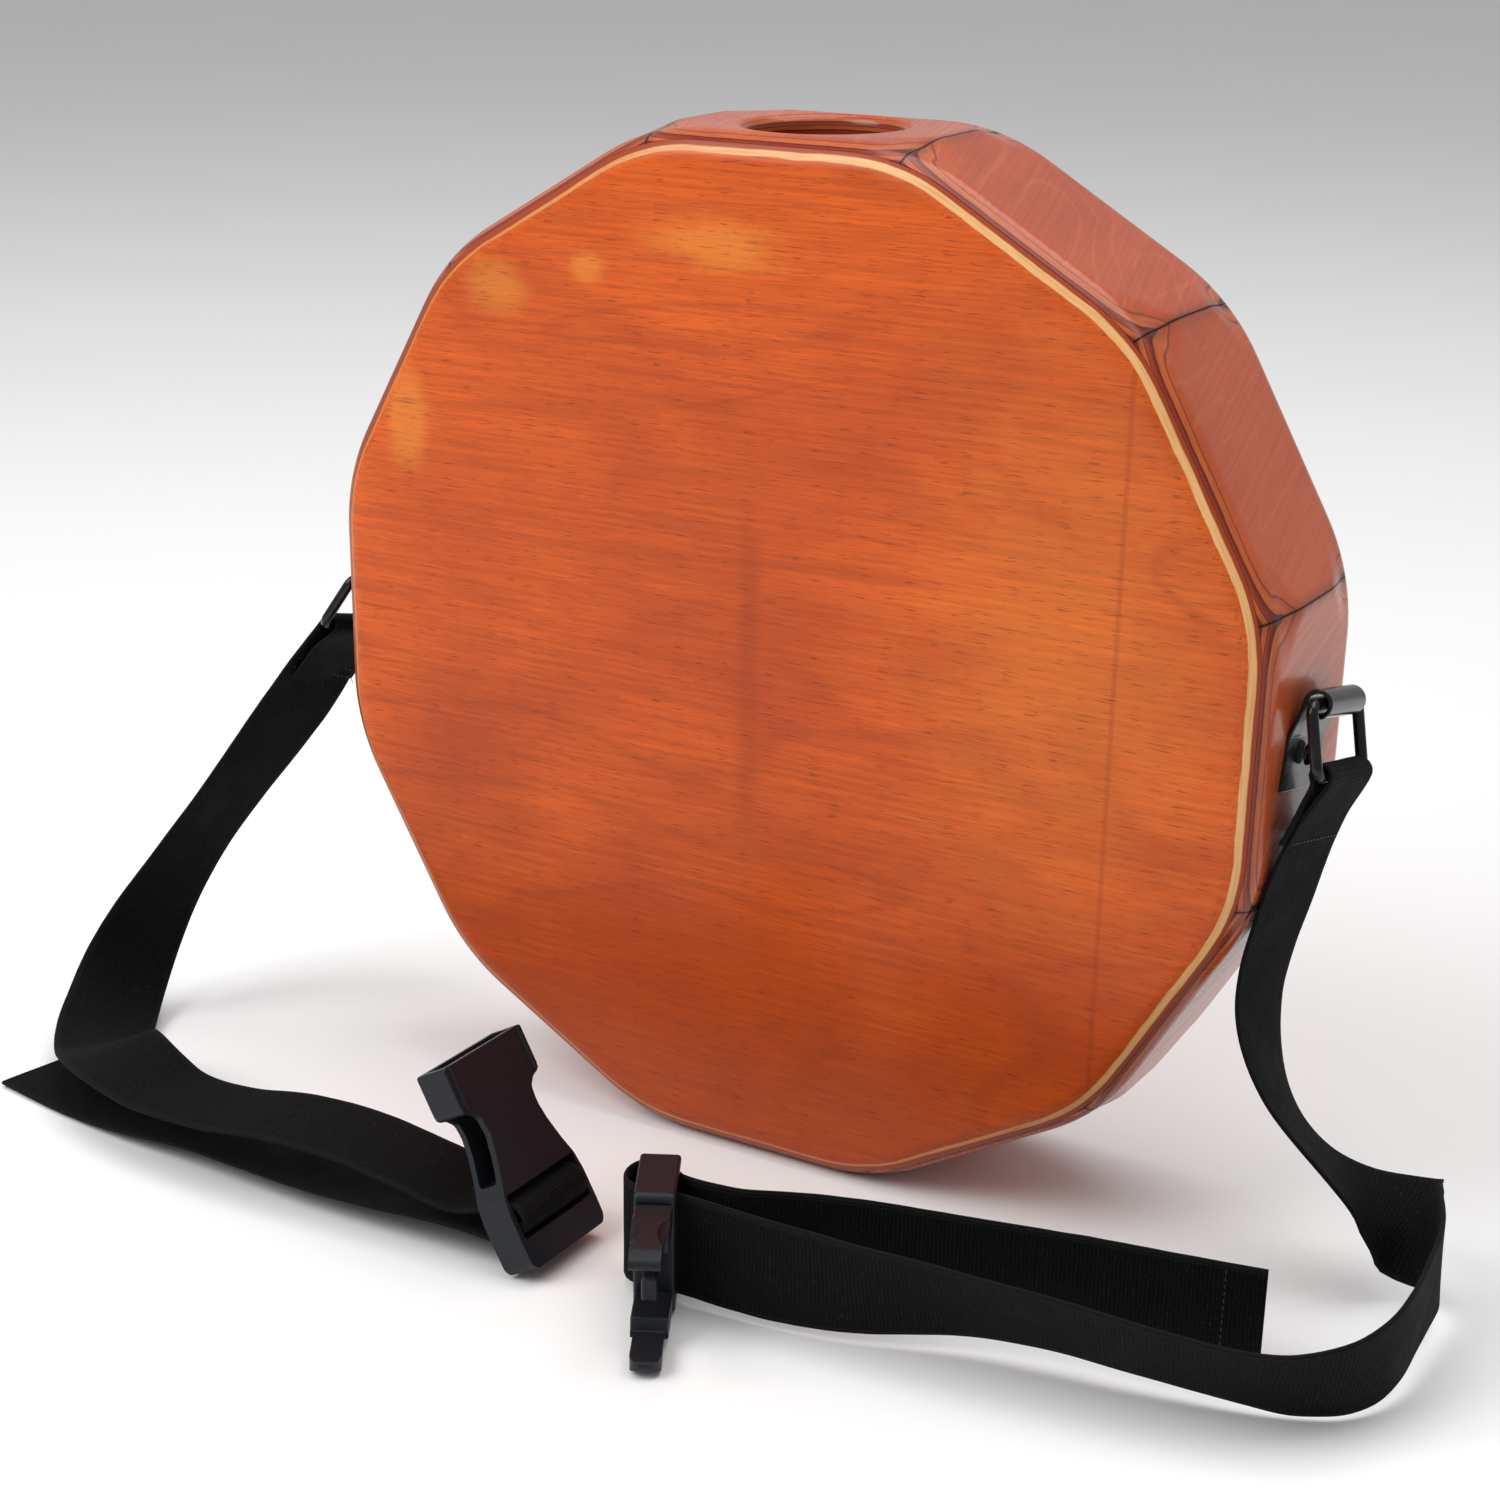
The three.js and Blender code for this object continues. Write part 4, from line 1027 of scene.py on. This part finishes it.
@dataclass
class Threads:
    """Stitches and loose thread ends on one strap."""

    strap: Strap
    thread: float = 0.00028

    def stitches(self, name: str, rows: Sequence[tuple[float, float, float]], lift: float, material: bpy.types.Material) -> bpy.types.Object:
        """Sews rows of stitches.

        Args:
            name: the piece's name.
            rows: (length along the strap, from across, to across) of each row.
            lift: how far out of the strap's middle line the thread lies.
            material: the thread's finish.

        Returns:
            The stitches as one piece.
        """
        bm = bmesh.new()
        for along, start, end in rows:
            count = max(2, round(abs(end - start) / 0.0026))
            for k in range(count):
                a = start + (end - start) * (k + 0.16) / count
                b = start + (end - start) * (k + 0.84) / count
                self.capsule(bm, self.strap.point(along, a, lift), self.strap.point(along, b, lift))
        return self.strap.hung(as_piece(bm, name, material, ""))

    def capsule(self, bm: bmesh.types.BMesh, start: Vector, end: Vector) -> None:
        """Adds one stitch, a short round-ended rod."""
        along = end - start
        turn = along.to_track_quat("Z", "Y").to_matrix().to_4x4()
        size = Matrix.Diagonal((self.thread, self.thread, along.length / 2, 1))
        place = Matrix.Translation((start + end) / 2) @ turn @ size
        bmesh.ops.create_uvsphere(bm, u_segments=8, v_segments=6, radius=1.0, matrix=place)

    def frays(self, name: str, along: float, count: int, seed: int, material: bpy.types.Material) -> bpy.types.Object:
        """Adds loose thread ends at a cut end of the webbing.

        Args:
            name: the piece's name.
            along: where the cut end is.
            count: how many threads stick out.
            seed: what tells one end from another.
            material: the thread's finish.

        Returns:
            The threads as one piece.
        """
        chance = random.Random(seed)
        bm = bmesh.new()
        side = -1 if along < self.strap.length / 2 else 1
        for _ in range(count):
            a = chance.uniform(-0.95, 0.95) * WEB / 2
            place = self.strap.point(along, a, 0.0)
            ahead = (self.strap.point(along + 0.003 * side, a, 0.0) - place).normalized()
            heading = ahead + Vector([chance.uniform(-0.7, 0.7) for _ in range(3)])
            ring = bmesh.ops.create_circle(bm, segments=5, radius=0.00013, matrix=Matrix.Translation(place - ahead * 0.0006))
            edges = list({e for v in ring["verts"] for e in v.link_edges})
            for _ in range(chance.randint(3, 6)):
                heading = (heading.normalized() + Vector([chance.uniform(-0.5, 0.5) for _ in range(3)])).normalized()
                made = bmesh.ops.extrude_edge_only(bm, edges=edges)["geom"]
                moved = [v for v in made if isinstance(v, bmesh.types.BMVert)]
                bmesh.ops.translate(bm, vec=heading * 0.0009, verts=moved)
                edges = [e for e in made if isinstance(e, bmesh.types.BMEdge) and all(v in moved for v in e.verts)]
        close_holes(bm)
        return self.strap.hung(as_piece(bm, name, material, ""))


# ------------------------------------------------------------------------ drum


@dataclass
class Drum:
    """The twelve mitred staves and the two plates, rounded together at the rim."""

    stave: float = 0.012
    plate: float = 0.003
    glue: float = 0.0003
    rim: float = 0.011
    face_corner: float = 0.078
    edge_corner: float = 0.009
    corner_steps: int = 10
    hole: float = 0.027
    hole_lip: float = 0.004

    def outline(self, inset: float) -> list[Vector]:
        """Returns the drum's outline at a depth below a face, in the XZ plane."""
        rise = max(self.rim - inset, 0.0)
        drop = self.rim - math.sqrt(self.rim**2 - rise**2)
        share = smoothstep(inset, self.rim, 2.6 * self.rim)
        corner = self.face_corner + (self.edge_corner - self.face_corner) * share - drop
        flat = APOTHEM - drop
        reach = (flat - corner) / math.cos(STEP / 2)
        found = []
        for k in range(SIDES):
            middle = (k + 0.5) * STEP
            for i in range(self.corner_steps + 1):
                turn = middle + (i / self.corner_steps - 0.5) * STEP
                x = reach * math.sin(middle) + corner * math.sin(turn)
                z = reach * math.cos(middle) + corner * math.cos(turn)
                found.append(Vector((x, 0.0, APOTHEM + z)))
        return found

    def insets(self, low: float, high: float, count: int) -> list[float]:
        """Depths below a face at even turns of the rim's round-over."""
        first = math.acos(1 - low / self.rim)
        last = math.acos(max(1 - high / self.rim, 0.0))
        return [self.rim * (1 - math.cos(first + (last - first) * i / count)) for i in range(count + 1)]

    def shell(self, depths: Sequence[float]) -> bmesh.types.BMesh:
        """Stacks outlines into a closed shell.

        Args:
            depths: the Y of each outline, from front to back.

        Returns:
            The shell, with a face on each end.
        """
        bm = bmesh.new()
        spots = self.outline(DEPTH / 2 - abs(depths[0]))
        loop = [bm.verts.new(spot + Vector((0, depths[0], 0))) for spot in spots]
        edges = [bm.edges.new((loop[k - 1], loop[k])) for k in range(len(loop))]
        for y in depths[1:]:
            order = {vert.co.to_tuple(6): k for k, vert in enumerate(loop)}
            made = bmesh.ops.extrude_edge_only(bm, edges=edges)["geom"]
            fresh = {order[v.co.to_tuple(6)]: v for v in made if isinstance(v, bmesh.types.BMVert)}
            loop = [fresh[k] for k in range(len(spots))]
            edges = [bm.edges.get((loop[k - 1], loop[k])) for k in range(len(loop))]
            for vert, spot in zip(loop, self.outline(DEPTH / 2 - abs(y))):
                vert.co = spot + Vector((0, y, 0))
        close_holes(bm)
        bmesh.ops.recalc_face_normals(bm, faces=bm.faces)
        return bm

    def plates(self, material: bpy.types.Material) -> None:
        """Makes the front and back plates."""
        depths = self.insets(0.0, self.plate, 9)
        for name, side in (("front_plate", -1), ("back_plate", 1)):
            bm = self.shell([side * (DEPTH / 2 - inset) for inset in depths])
            faces = [f for f in bm.faces if len(f.verts) > 20 and abs(f.calc_center_median().y) > DEPTH / 2 - 1e-6]
            bmesh.ops.inset_region(bm, faces=faces, thickness=0.003, depth=0.0)
            even_shading(as_piece(bm, name, material, "drum", [name]))

    def staves(self, material: bpy.types.Material) -> None:
        """Cuts the twelve staves out of one shell."""
        low = self.plate + self.glue
        rim = self.insets(low, self.rim, 9)
        rest = [self.rim * (1 + 1.6 * i / 6) for i in range(1, 7)]
        front = [inset - DEPTH / 2 for inset in rim + rest]
        blank = self.shell([*front, *[-y for y in reversed(front)]])
        for i in range(SIDES):
            bm = self.wedge(blank.copy(), i)
            if i == 0:
                bm = combined(bm, self.hole_cutter(), "DIFFERENCE")
            self.mark_board(bm, i)
            piece = as_piece(bm, f"stave_{i + 1:02d}", material, "drum", [f"stave_{i + 1:02d}"])
            even_shading(piece)
        blank.free()

    def wedge(self, bm: bmesh.types.BMesh, i: int) -> bmesh.types.BMesh:
        """Cuts one stave out of the shell: two mitres and the flat inside."""
        out = Vector((math.sin(i * STEP), 0, math.cos(i * STEP)))
        along = Vector((out.z, 0, -out.x))
        planes = [(MIDDLE + out * (APOTHEM - self.stave), -out)]
        for side in (-1, 1):
            normal = along * side * math.cos(STEP / 2) - out * math.sin(STEP / 2)
            planes.append((MIDDLE - normal * self.glue / 2, normal))
        for place, normal in planes:
            geometry = bm.verts[:] + bm.edges[:] + bm.faces[:]
            bmesh.ops.bisect_plane(bm, geom=geometry, dist=1e-7, plane_co=place, plane_no=normal, clear_outer=True)
            close_holes(bm)
        return bm

    def hole_cutter(self) -> bmesh.types.BMesh:
        """Returns the solid that the sound hole takes out, flared at the top."""
        bm = bmesh.new()
        top = FLATS
        profile = [(self.hole + self.hole_lip, top + 0.002)]
        for k in range(9):
            angle = k / 8 * math.pi / 2
            out = self.hole + self.hole_lip * (1 - math.sin(angle))
            profile.append((out, top - self.hole_lip * (1 - math.cos(angle))))
        profile.append((self.hole, top - self.stave - 0.004))
        verts = [bm.verts.new((r, 0, z)) for r, z in profile]
        edges = [bm.edges.new(pair) for pair in zip(verts, verts[1:])]
        bmesh.ops.spin(bm, geom=verts + edges, cent=(0, 0, 0), axis=(0, 0, 1), angle=2 * math.pi, steps=72,
                       use_merge=True)
        bmesh.ops.remove_doubles(bm, verts=bm.verts, dist=1e-6)
        close_holes(bm)
        return bm

    def mark_board(self, bm: bmesh.types.BMesh, i: int) -> None:
        """Writes each point's place in its own board: along, across and depth under the outer face."""
        out = Vector((math.sin(i * STEP), 0, math.cos(i * STEP)))
        along = Vector((out.z, 0, -out.x))
        board = bm.verts.layers.float_vector.new("board")
        number = bm.verts.layers.float.new("number")
        for vert in bm.verts:
            away = vert.co - MIDDLE
            vert[board] = (away.dot(along), vert.co.y, APOTHEM - away.dot(out))
            vert[number] = float(i)


# -------------------------------------------------------------------- hardware


@dataclass
class Hanger:
    """One bent bracket, its screw and the ring that hangs in its curl."""

    mount: Mount
    sheet: float = 0.0015
    width: float = WEB - 0.004
    curl: float = 0.0034
    foot: float = -0.030
    screw: float = -0.018
    head: float = 0.004
    ring_half: float = WEB / 2 + 0.0036
    ring_bend: float = 0.0034

    def build(self, paint: bpy.types.Material) -> None:
        """Makes the three pieces."""
        side = self.mount.side.value
        frame_here = self.mount.frame()
        bracket = self.placed(self.bracket(), frame_here)
        piece = as_piece(bracket, f"bracket_{side}", paint, "drum", [f"bracket_{side}"])
        soften(piece, 0.0004, 3)
        screw = self.placed(self.screw_head(), frame_here)
        head = as_piece(screw, f"bracket_screw_{side}", paint, "drum", [f"bracket_screw_{side}"])
        even_shading(head)
        hang = Matrix.Translation((CURL_OUT, 0, 0)) @ Matrix.Rotation(math.radians(-self.mount.swing), 4, "Y")
        ring = self.placed(self.ring(), frame_here @ hang)
        as_piece(ring, f"ring_{side}", paint, f"ring_{side}", [f"ring_{side}"], crease=70)

    def placed(self, bm: bmesh.types.BMesh, matrix: Matrix) -> bmesh.types.BMesh:
        """Moves a mesh from its own frame into the object's."""
        bmesh.ops.transform(bm, matrix=matrix, verts=bm.verts)
        return bm

    def bracket(self) -> bmesh.types.BMesh:
        """Bends the sheet: a foot on the stave, a step out, and the curl round the ring."""
        bm = bmesh.new()
        line = [(0.00105, self.foot), (0.00105, -0.0128), (0.00125, -0.0118), (0.0041, -0.0032)]
        verts = [bm.verts.new((x, -self.width / 2, z)) for x, z in line]
        start = bm.verts.new((CURL_OUT - self.curl, -self.width / 2, 0))
        chain = [*verts, start]
        for pair in zip(chain, chain[1:]):
            bm.edges.new(pair)
        bmesh.ops.spin(bm, geom=[start], cent=(CURL_OUT, 0, 0), axis=(0, 1, 0), angle=math.radians(290), steps=28)
        made = bmesh.ops.extrude_edge_only(bm, edges=bm.edges[:])["geom"]
        moved = [v for v in made if isinstance(v, bmesh.types.BMVert)]
        bmesh.ops.translate(bm, vec=(0, self.width, 0), verts=moved)
        bmesh.ops.recalc_face_normals(bm, faces=bm.faces)
        bmesh.ops.solidify(bm, geom=bm.faces[:], thickness=self.sheet)
        return bm

    def screw_head(self) -> bmesh.types.BMesh:
        """Turns the domed head and cuts its cross."""
        bm = bmesh.new()
        under, top = 0.0021, 0.0044
        profile = [(0.0, under), (self.head - 0.0002, under), (self.head, under + 0.0002), (self.head, under + 0.0006)]
        for k in range(1, 8):
            angle = k / 8 * math.pi / 2
            profile.append((self.head * math.cos(angle), under + 0.0006 + (top - under - 0.0006) * math.sin(angle)))
        profile.append((0.0, top))
        verts = [bm.verts.new((x, 0, self.screw + r)) for r, x in profile]
        edges = [bm.edges.new(pair) for pair in zip(verts, verts[1:])]
        bmesh.ops.spin(bm, geom=verts + edges, cent=(0, 0, self.screw), axis=(1, 0, 0), angle=2 * math.pi, steps=40,
                       use_merge=True)
        bmesh.ops.remove_doubles(bm, verts=bm.verts, dist=1e-6)
        for turn in (0, math.pi / 2):
            slot = block(millimetres(-1.2, -0.35, -2.0), millimetres(1.2, 0.35, 2.0))
            place = Matrix.Translation((top + 0.0002, 0, self.screw)) @ Matrix.Rotation(turn + 0.5, 4, "X")
            bmesh.ops.transform(slot, matrix=place, verts=slot.verts)
            bm = combined(bm, slot, "DIFFERENCE")
        return bm

    def ring(self) -> bmesh.types.BMesh:
        """Bends the wire into a rounded rectangle that hangs from the curl."""
        bm = bmesh.new()
        bend = self.ring_bend
        half, low = self.ring_half, -RING_DROP
        turn = Matrix.Rotation(math.pi / 2, 4, "X")
        made = bmesh.ops.create_circle(bm, segments=18, radius=WIRE, matrix=turn)
        geometry = made["verts"] + list({e for v in made["verts"] for e in v.link_edges})
        moves = [((0, half - bend, 0), (0, half - bend, -bend)),
                 ((0, 0, low + 2 * bend), (0, half - bend, low + bend)),
                 ((0, 2 * (bend - half), 0), (0, bend - half, low + bend)),
                 ((0, 0, -low - 2 * bend), (0, bend - half, -bend))]
        for run, centre in moves:
            geometry = self.run_on(bm, geometry, Vector(run))
            geometry = bmesh.ops.spin(bm, geom=geometry, cent=centre, axis=(1, 0, 0), angle=-math.pi / 2, steps=7)["geom_last"]
        self.run_on(bm, geometry, Vector((0, half - bend, 0)))
        bmesh.ops.remove_doubles(bm, verts=bm.verts, dist=2e-6)
        return bm

    def run_on(self, bm: bmesh.types.BMesh, geometry: list, run: Vector) -> list:
        """Extrudes a loop straight on and returns the new loop."""
        edges = [e for e in geometry if isinstance(e, bmesh.types.BMEdge)]
        made = bmesh.ops.extrude_edge_only(bm, edges=edges)["geom"]
        moved = {v for v in made if isinstance(v, bmesh.types.BMVert)}
        bmesh.ops.translate(bm, vec=run, verts=list(moved))
        return [*moved, *[e for e in made if isinstance(e, bmesh.types.BMEdge) and set(e.verts) <= moved]]


# --------------------------------------------------------------------- buckles


@dataclass
class SocketHalf:
    """The buckle's socket half, leaning on its foot."""

    foot: Vector
    lean: float = 28.7
    half: float = (WEB + 0.0066) / 2
    length: float = 0.076
    thick: float = 0.0135

    @property
    def frame(self) -> Matrix:
        """From (across, up the half, through it) to the object's frame."""
        turn = math.radians(self.lean)
        across, up, through = Vector((0, 1, 0)), Vector((-math.sin(turn), 0, math.cos(turn))), Vector((math.cos(turn), 0, math.sin(turn)))
        return Matrix.Translation(self.foot) @ Matrix((across, up, through)).transposed().to_4x4()

    def turn_rows(self) -> list[Row]:
        """Returns the rows of the webbing's turn over the bar."""
        steps = [(-2.6, 25.2), (1.6, 24.8), (6, 24.6), (10.6, 24), (14.4, 21.4), (15.4, 17.6), (13.4, 14.2),
                 (9.4, 12.4), (5, 11.8), (1.6, 11.8)]
        return [(*(self.frame @ millimetres(0, up, through)), 0.0, 1.0, 0.0) for through, up in steps]

    def build(self, plastic: bpy.types.Material) -> bpy.types.Object:
        """Moulds the half."""
        c, top = self.half * 1000, self.length * 1000
        side = [(c - 2.5, 0), (c - 0.5, 2.5), (c - 0.3, 9), (c - 0.4, 20), (c - 1.4, 27), (c - 4.2, 34), (c - 7, 43),
                (c - 8, 50), (c - 7.4, 55), (c - 4.4, 57.8), (c - 1, 58.6), (c, 60.5), (c, top)]
        outline = mirrored([(w / 1000, l / 1000) for w, l in side])
        bm = slab(outline, 0.0, self.thick, 0.0012, 0.0016)
        middle = self.thick * 500
        bm = combined(bm, block(millimetres(-19, 31, middle - 4.2), millimetres(19, top + 10, middle + 4.2), 0.0012), "DIFFERENCE")
        bm = combined(bm, block(millimetres(-19.7, 10.9, -2), millimetres(19.7, 27.4, 16), 0.001), "DIFFERENCE")
        for sign in (-1, 1):
            scoop = bar_of(millimetres(sign * (c + 2.4), 49, 8.6), millimetres(sign * (c + 2.4), 49, 18), 0.0105, 48)
            bm = combined(bm, scoop, "DIFFERENCE")
            groove = bar_of(millimetres(sign * (c - 2.6), 59, 14.2), millimetres(sign * (c - 2.6), 80, 14.2), 0.0014)
            bm = combined(bm, groove, "DIFFERENCE")
        bm = combined(bm, bar_of(millimetres(-20.5, 18, 6), millimetres(20.5, 18, 6), 0.0026), "UNION")
        bmesh.ops.transform(bm, matrix=self.frame, verts=bm.verts)
        piece = as_piece(bm, "buckle_socket", plastic, "drum", ["buckle_socket"])
        soften(piece, 0.0006, 3)
        return piece


@dataclass
class ProngHalf:
    """The buckle's prong half, lying on its side edge."""

    bar: Vector
    turn: float = -61.6
    half: float = (WEB + 0.007) / 2
    thick: float = 0.014

    @property
    def frame(self) -> Matrix:
        """From (out of the base, up, through it) to the object's frame."""
        turn = math.radians(self.turn)
        out, up, through = Vector((math.cos(turn), math.sin(turn), 0)), Vector((0, 0, 1)), Vector((math.sin(turn), -math.cos(turn), 0))
        return Matrix.Translation(self.bar) @ Matrix((out, up, through)).transposed().to_4x4()

    def rows(self, steps: Sequence[Pair]) -> list[Row]:
        """Turns millimetre steps (out of the base, through it) into a strap's rows."""
        turn = math.radians(self.turn)
        found = []
        for out, through in steps:
            x = self.bar.x + (out * math.cos(turn) - through * math.sin(turn)) / 1000
            y = self.bar.y + (out * math.sin(turn) + through * math.cos(turn)) / 1000
            found.append((x, y, self.bar.z, 0.0, 0.0, 1.0))
        return found

    def build(self, plastic: bpy.types.Material) -> list[bpy.types.Object]:
        """Moulds the base and the two prongs."""
        made = []
        shapes = (("buckle_prong_base", "drum", self.base()), ("buckle_prong_upper", "prong_upper", self.prong(1)),
                  ("buckle_prong_lower", "prong_lower", self.prong(-1)))
        for name, body, bm in shapes:
            bmesh.ops.transform(bm, matrix=self.frame, verts=bm.verts)
            piece = as_piece(bm, name, plastic, body, [name])
            soften(piece, 0.0004)
            made.append(piece)
        return made

    def base(self) -> bmesh.types.BMesh:
        """The frame round the webbing bar, and the guide between the prongs."""
        c, t = self.half * 1000, self.thick * 500
        corner = [(-7, c), (25, c)]
        bm = slab(mirrored([(u / 1000, w / 1000) for u, w in corner], swap=True), -t / 1000, t / 1000, 0.003, 0.0012)
        bm = combined(bm, block(millimetres(-12, -19.6, -9), millimetres(18, 19.6, 9), 0.001), "DIFFERENCE")
        bm = combined(bm, bar_of(millimetres(0, -20.6, 0), millimetres(0, 20.6, 0), 0.0026), "UNION")
        return combined(bm, block(millimetres(24, -4.5, -2.5), millimetres(48, 4.5, 2.5), 0.0012), "UNION")

    def prong(self, side: int) -> bmesh.types.BMesh:
        """One sprung arm and its pad.

        Args:
            side: plus one for the upper prong and minus one for the lower.

        Returns:
            The closed arm.
        """
        c = self.half * 1000
        outline = [(25.3, c - 9.5), (25.3, c - 3), (30, c - 2.9), (36, c - 2.1), (44, c - 0.9), (52, c - 0.3),
                   (60, c - 0.5), (64.5, c - 2), (66, c - 4), (65.2, c - 5.8), (60, c - 6.1), (46, c - 6),
                   (45, c - 10.5), (38, c - 10.3), (30, c - 9.9)]
        bm = slab([(u / 1000, side * w / 1000) for u, w in outline], -0.0063, 0.0063, 0.0009, 0.0012)
        for way in (-1, 1):
            scoop = bmesh.new()
            place = Matrix.Translation(millimetres(47, side * (c + 0.4), way * 7.4))
            shape = Matrix.Diagonal((0.0125, 0.0042, 0.0046, 1))
            bmesh.ops.create_uvsphere(scoop, u_segments=40, v_segments=24, radius=1.0, matrix=place @ shape)
            bm = combined(bm, scoop, "DIFFERENCE")
            bm = combined(bm, block(millimetres(46, min(side * (c - 9), side * (c + 3)), min(way * 5.2, way * 8)),
                                    millimetres(70, max(side * (c - 9), side * (c + 3)), max(way * 5.2, way * 8)), 0.0), "DIFFERENCE")
        if side < 0:
            end = block(millimetres(60.8, -c - 3, -8), millimetres(72, -c + 9, 8))
            end = combined(end, bar_of(millimetres(60.8, -c - 6, 0), millimetres(60.8, -c + 12, 0), 0.0052, 40), "DIFFERENCE")
            bm = combined(bm, end, "DIFFERENCE")
        return bm


# ------------------------------------------------------------------------ main


def main() -> None:
    """Builds the studio, the straps, the drum, its hangers and the buckle, in that order."""
    logging.basicConfig(level=logging.INFO, format="%(name)s: %(message)s")
    Studio(Vector((0.47406, -0.84130, 0.48011)), Vector((-0.5033, 0.7782, -0.3756)).normalized()).build()
    smooth = WebbingFinish("Smooth_Webbing", 0.0011, 0.0009, 0.00010).material()
    ribbed = WebbingFinish("Ribbed_Elastic", 0.0014, 0.0011, 0.00028).material()
    thread = ThreadFinish().material()
    socket = SocketHalf(millimetres(-22, -142.3, 0.4))
    prongs = ProngHalf(millimetres(21.1, -134.9, 22.8))
    over = socket.turn_rows()
    loop = prongs.rows([(11.8, -2.4), (10.6, -7), (7, -10.4), (2, -11.2), (-3, -9.8), (-6.6, -6.8), (-8, -2.8)])
    past = prongs.rows([(-7.9, -1.6), (-6.4, 2.2), (-2.6, 5), (2.4, 7.6)])
    under = (over[-1][0] - 0.0016, over[-1][1], over[-1][2] - 0.0009, 0.0, 1.0, 0.0)
    right = Strap("strap_right", ("strap_right", "strap_right_tail"), RIGHT_MOUNT,
                  [*RIGHT_MOUNT.loop_rows(), *RIGHT_RUN, *loop, *past, *RIGHT_TAIL], 1.0)
    left = Strap("strap_left", ("strap_left", "strap_left_tail"), LEFT_MOUNT,
                 [*LEFT_MOUNT.loop_rows(), *LEFT_RUN, *over, under, *LEFT_TAIL], 11.0)
    right.build(ribbed)
    left.build(smooth)
    drum = Drum()
    drum.plates(FaceFinish().material())
    drum.staves(StaveFinish().material())
    paint = BlackPaint().material()
    for mount in (RIGHT_MOUNT, LEFT_MOUNT):
        Hanger(mount).build(paint)
    plastic = Moulding().material()
    socket_piece = socket.build(plastic)
    prong_pieces = prongs.build(plastic)
    half = WEB / 2 - 0.002
    lift = WEB_T / 2 + 0.0001
    seams, ends = Threads(right), Threads(left)
    on_right = [seams.stitches("stitches_right", [(0.062, -half, half)], lift, thread),
                seams.stitches("stitches_hem", [(right.length - 0.013, -half, half)], lift, thread),
                seams.frays("frays_right", 0.0005, 16, 3, thread)]
    on_left = [ends.stitches("stitches_left", [(0.062, -half, half), (0.066, -half, half)], lift, thread),
               ends.frays("frays_left", 0.0005, 10, 4, thread)]
    right.declare()
    left.declare()


if __name__ == "__main__":
    main()
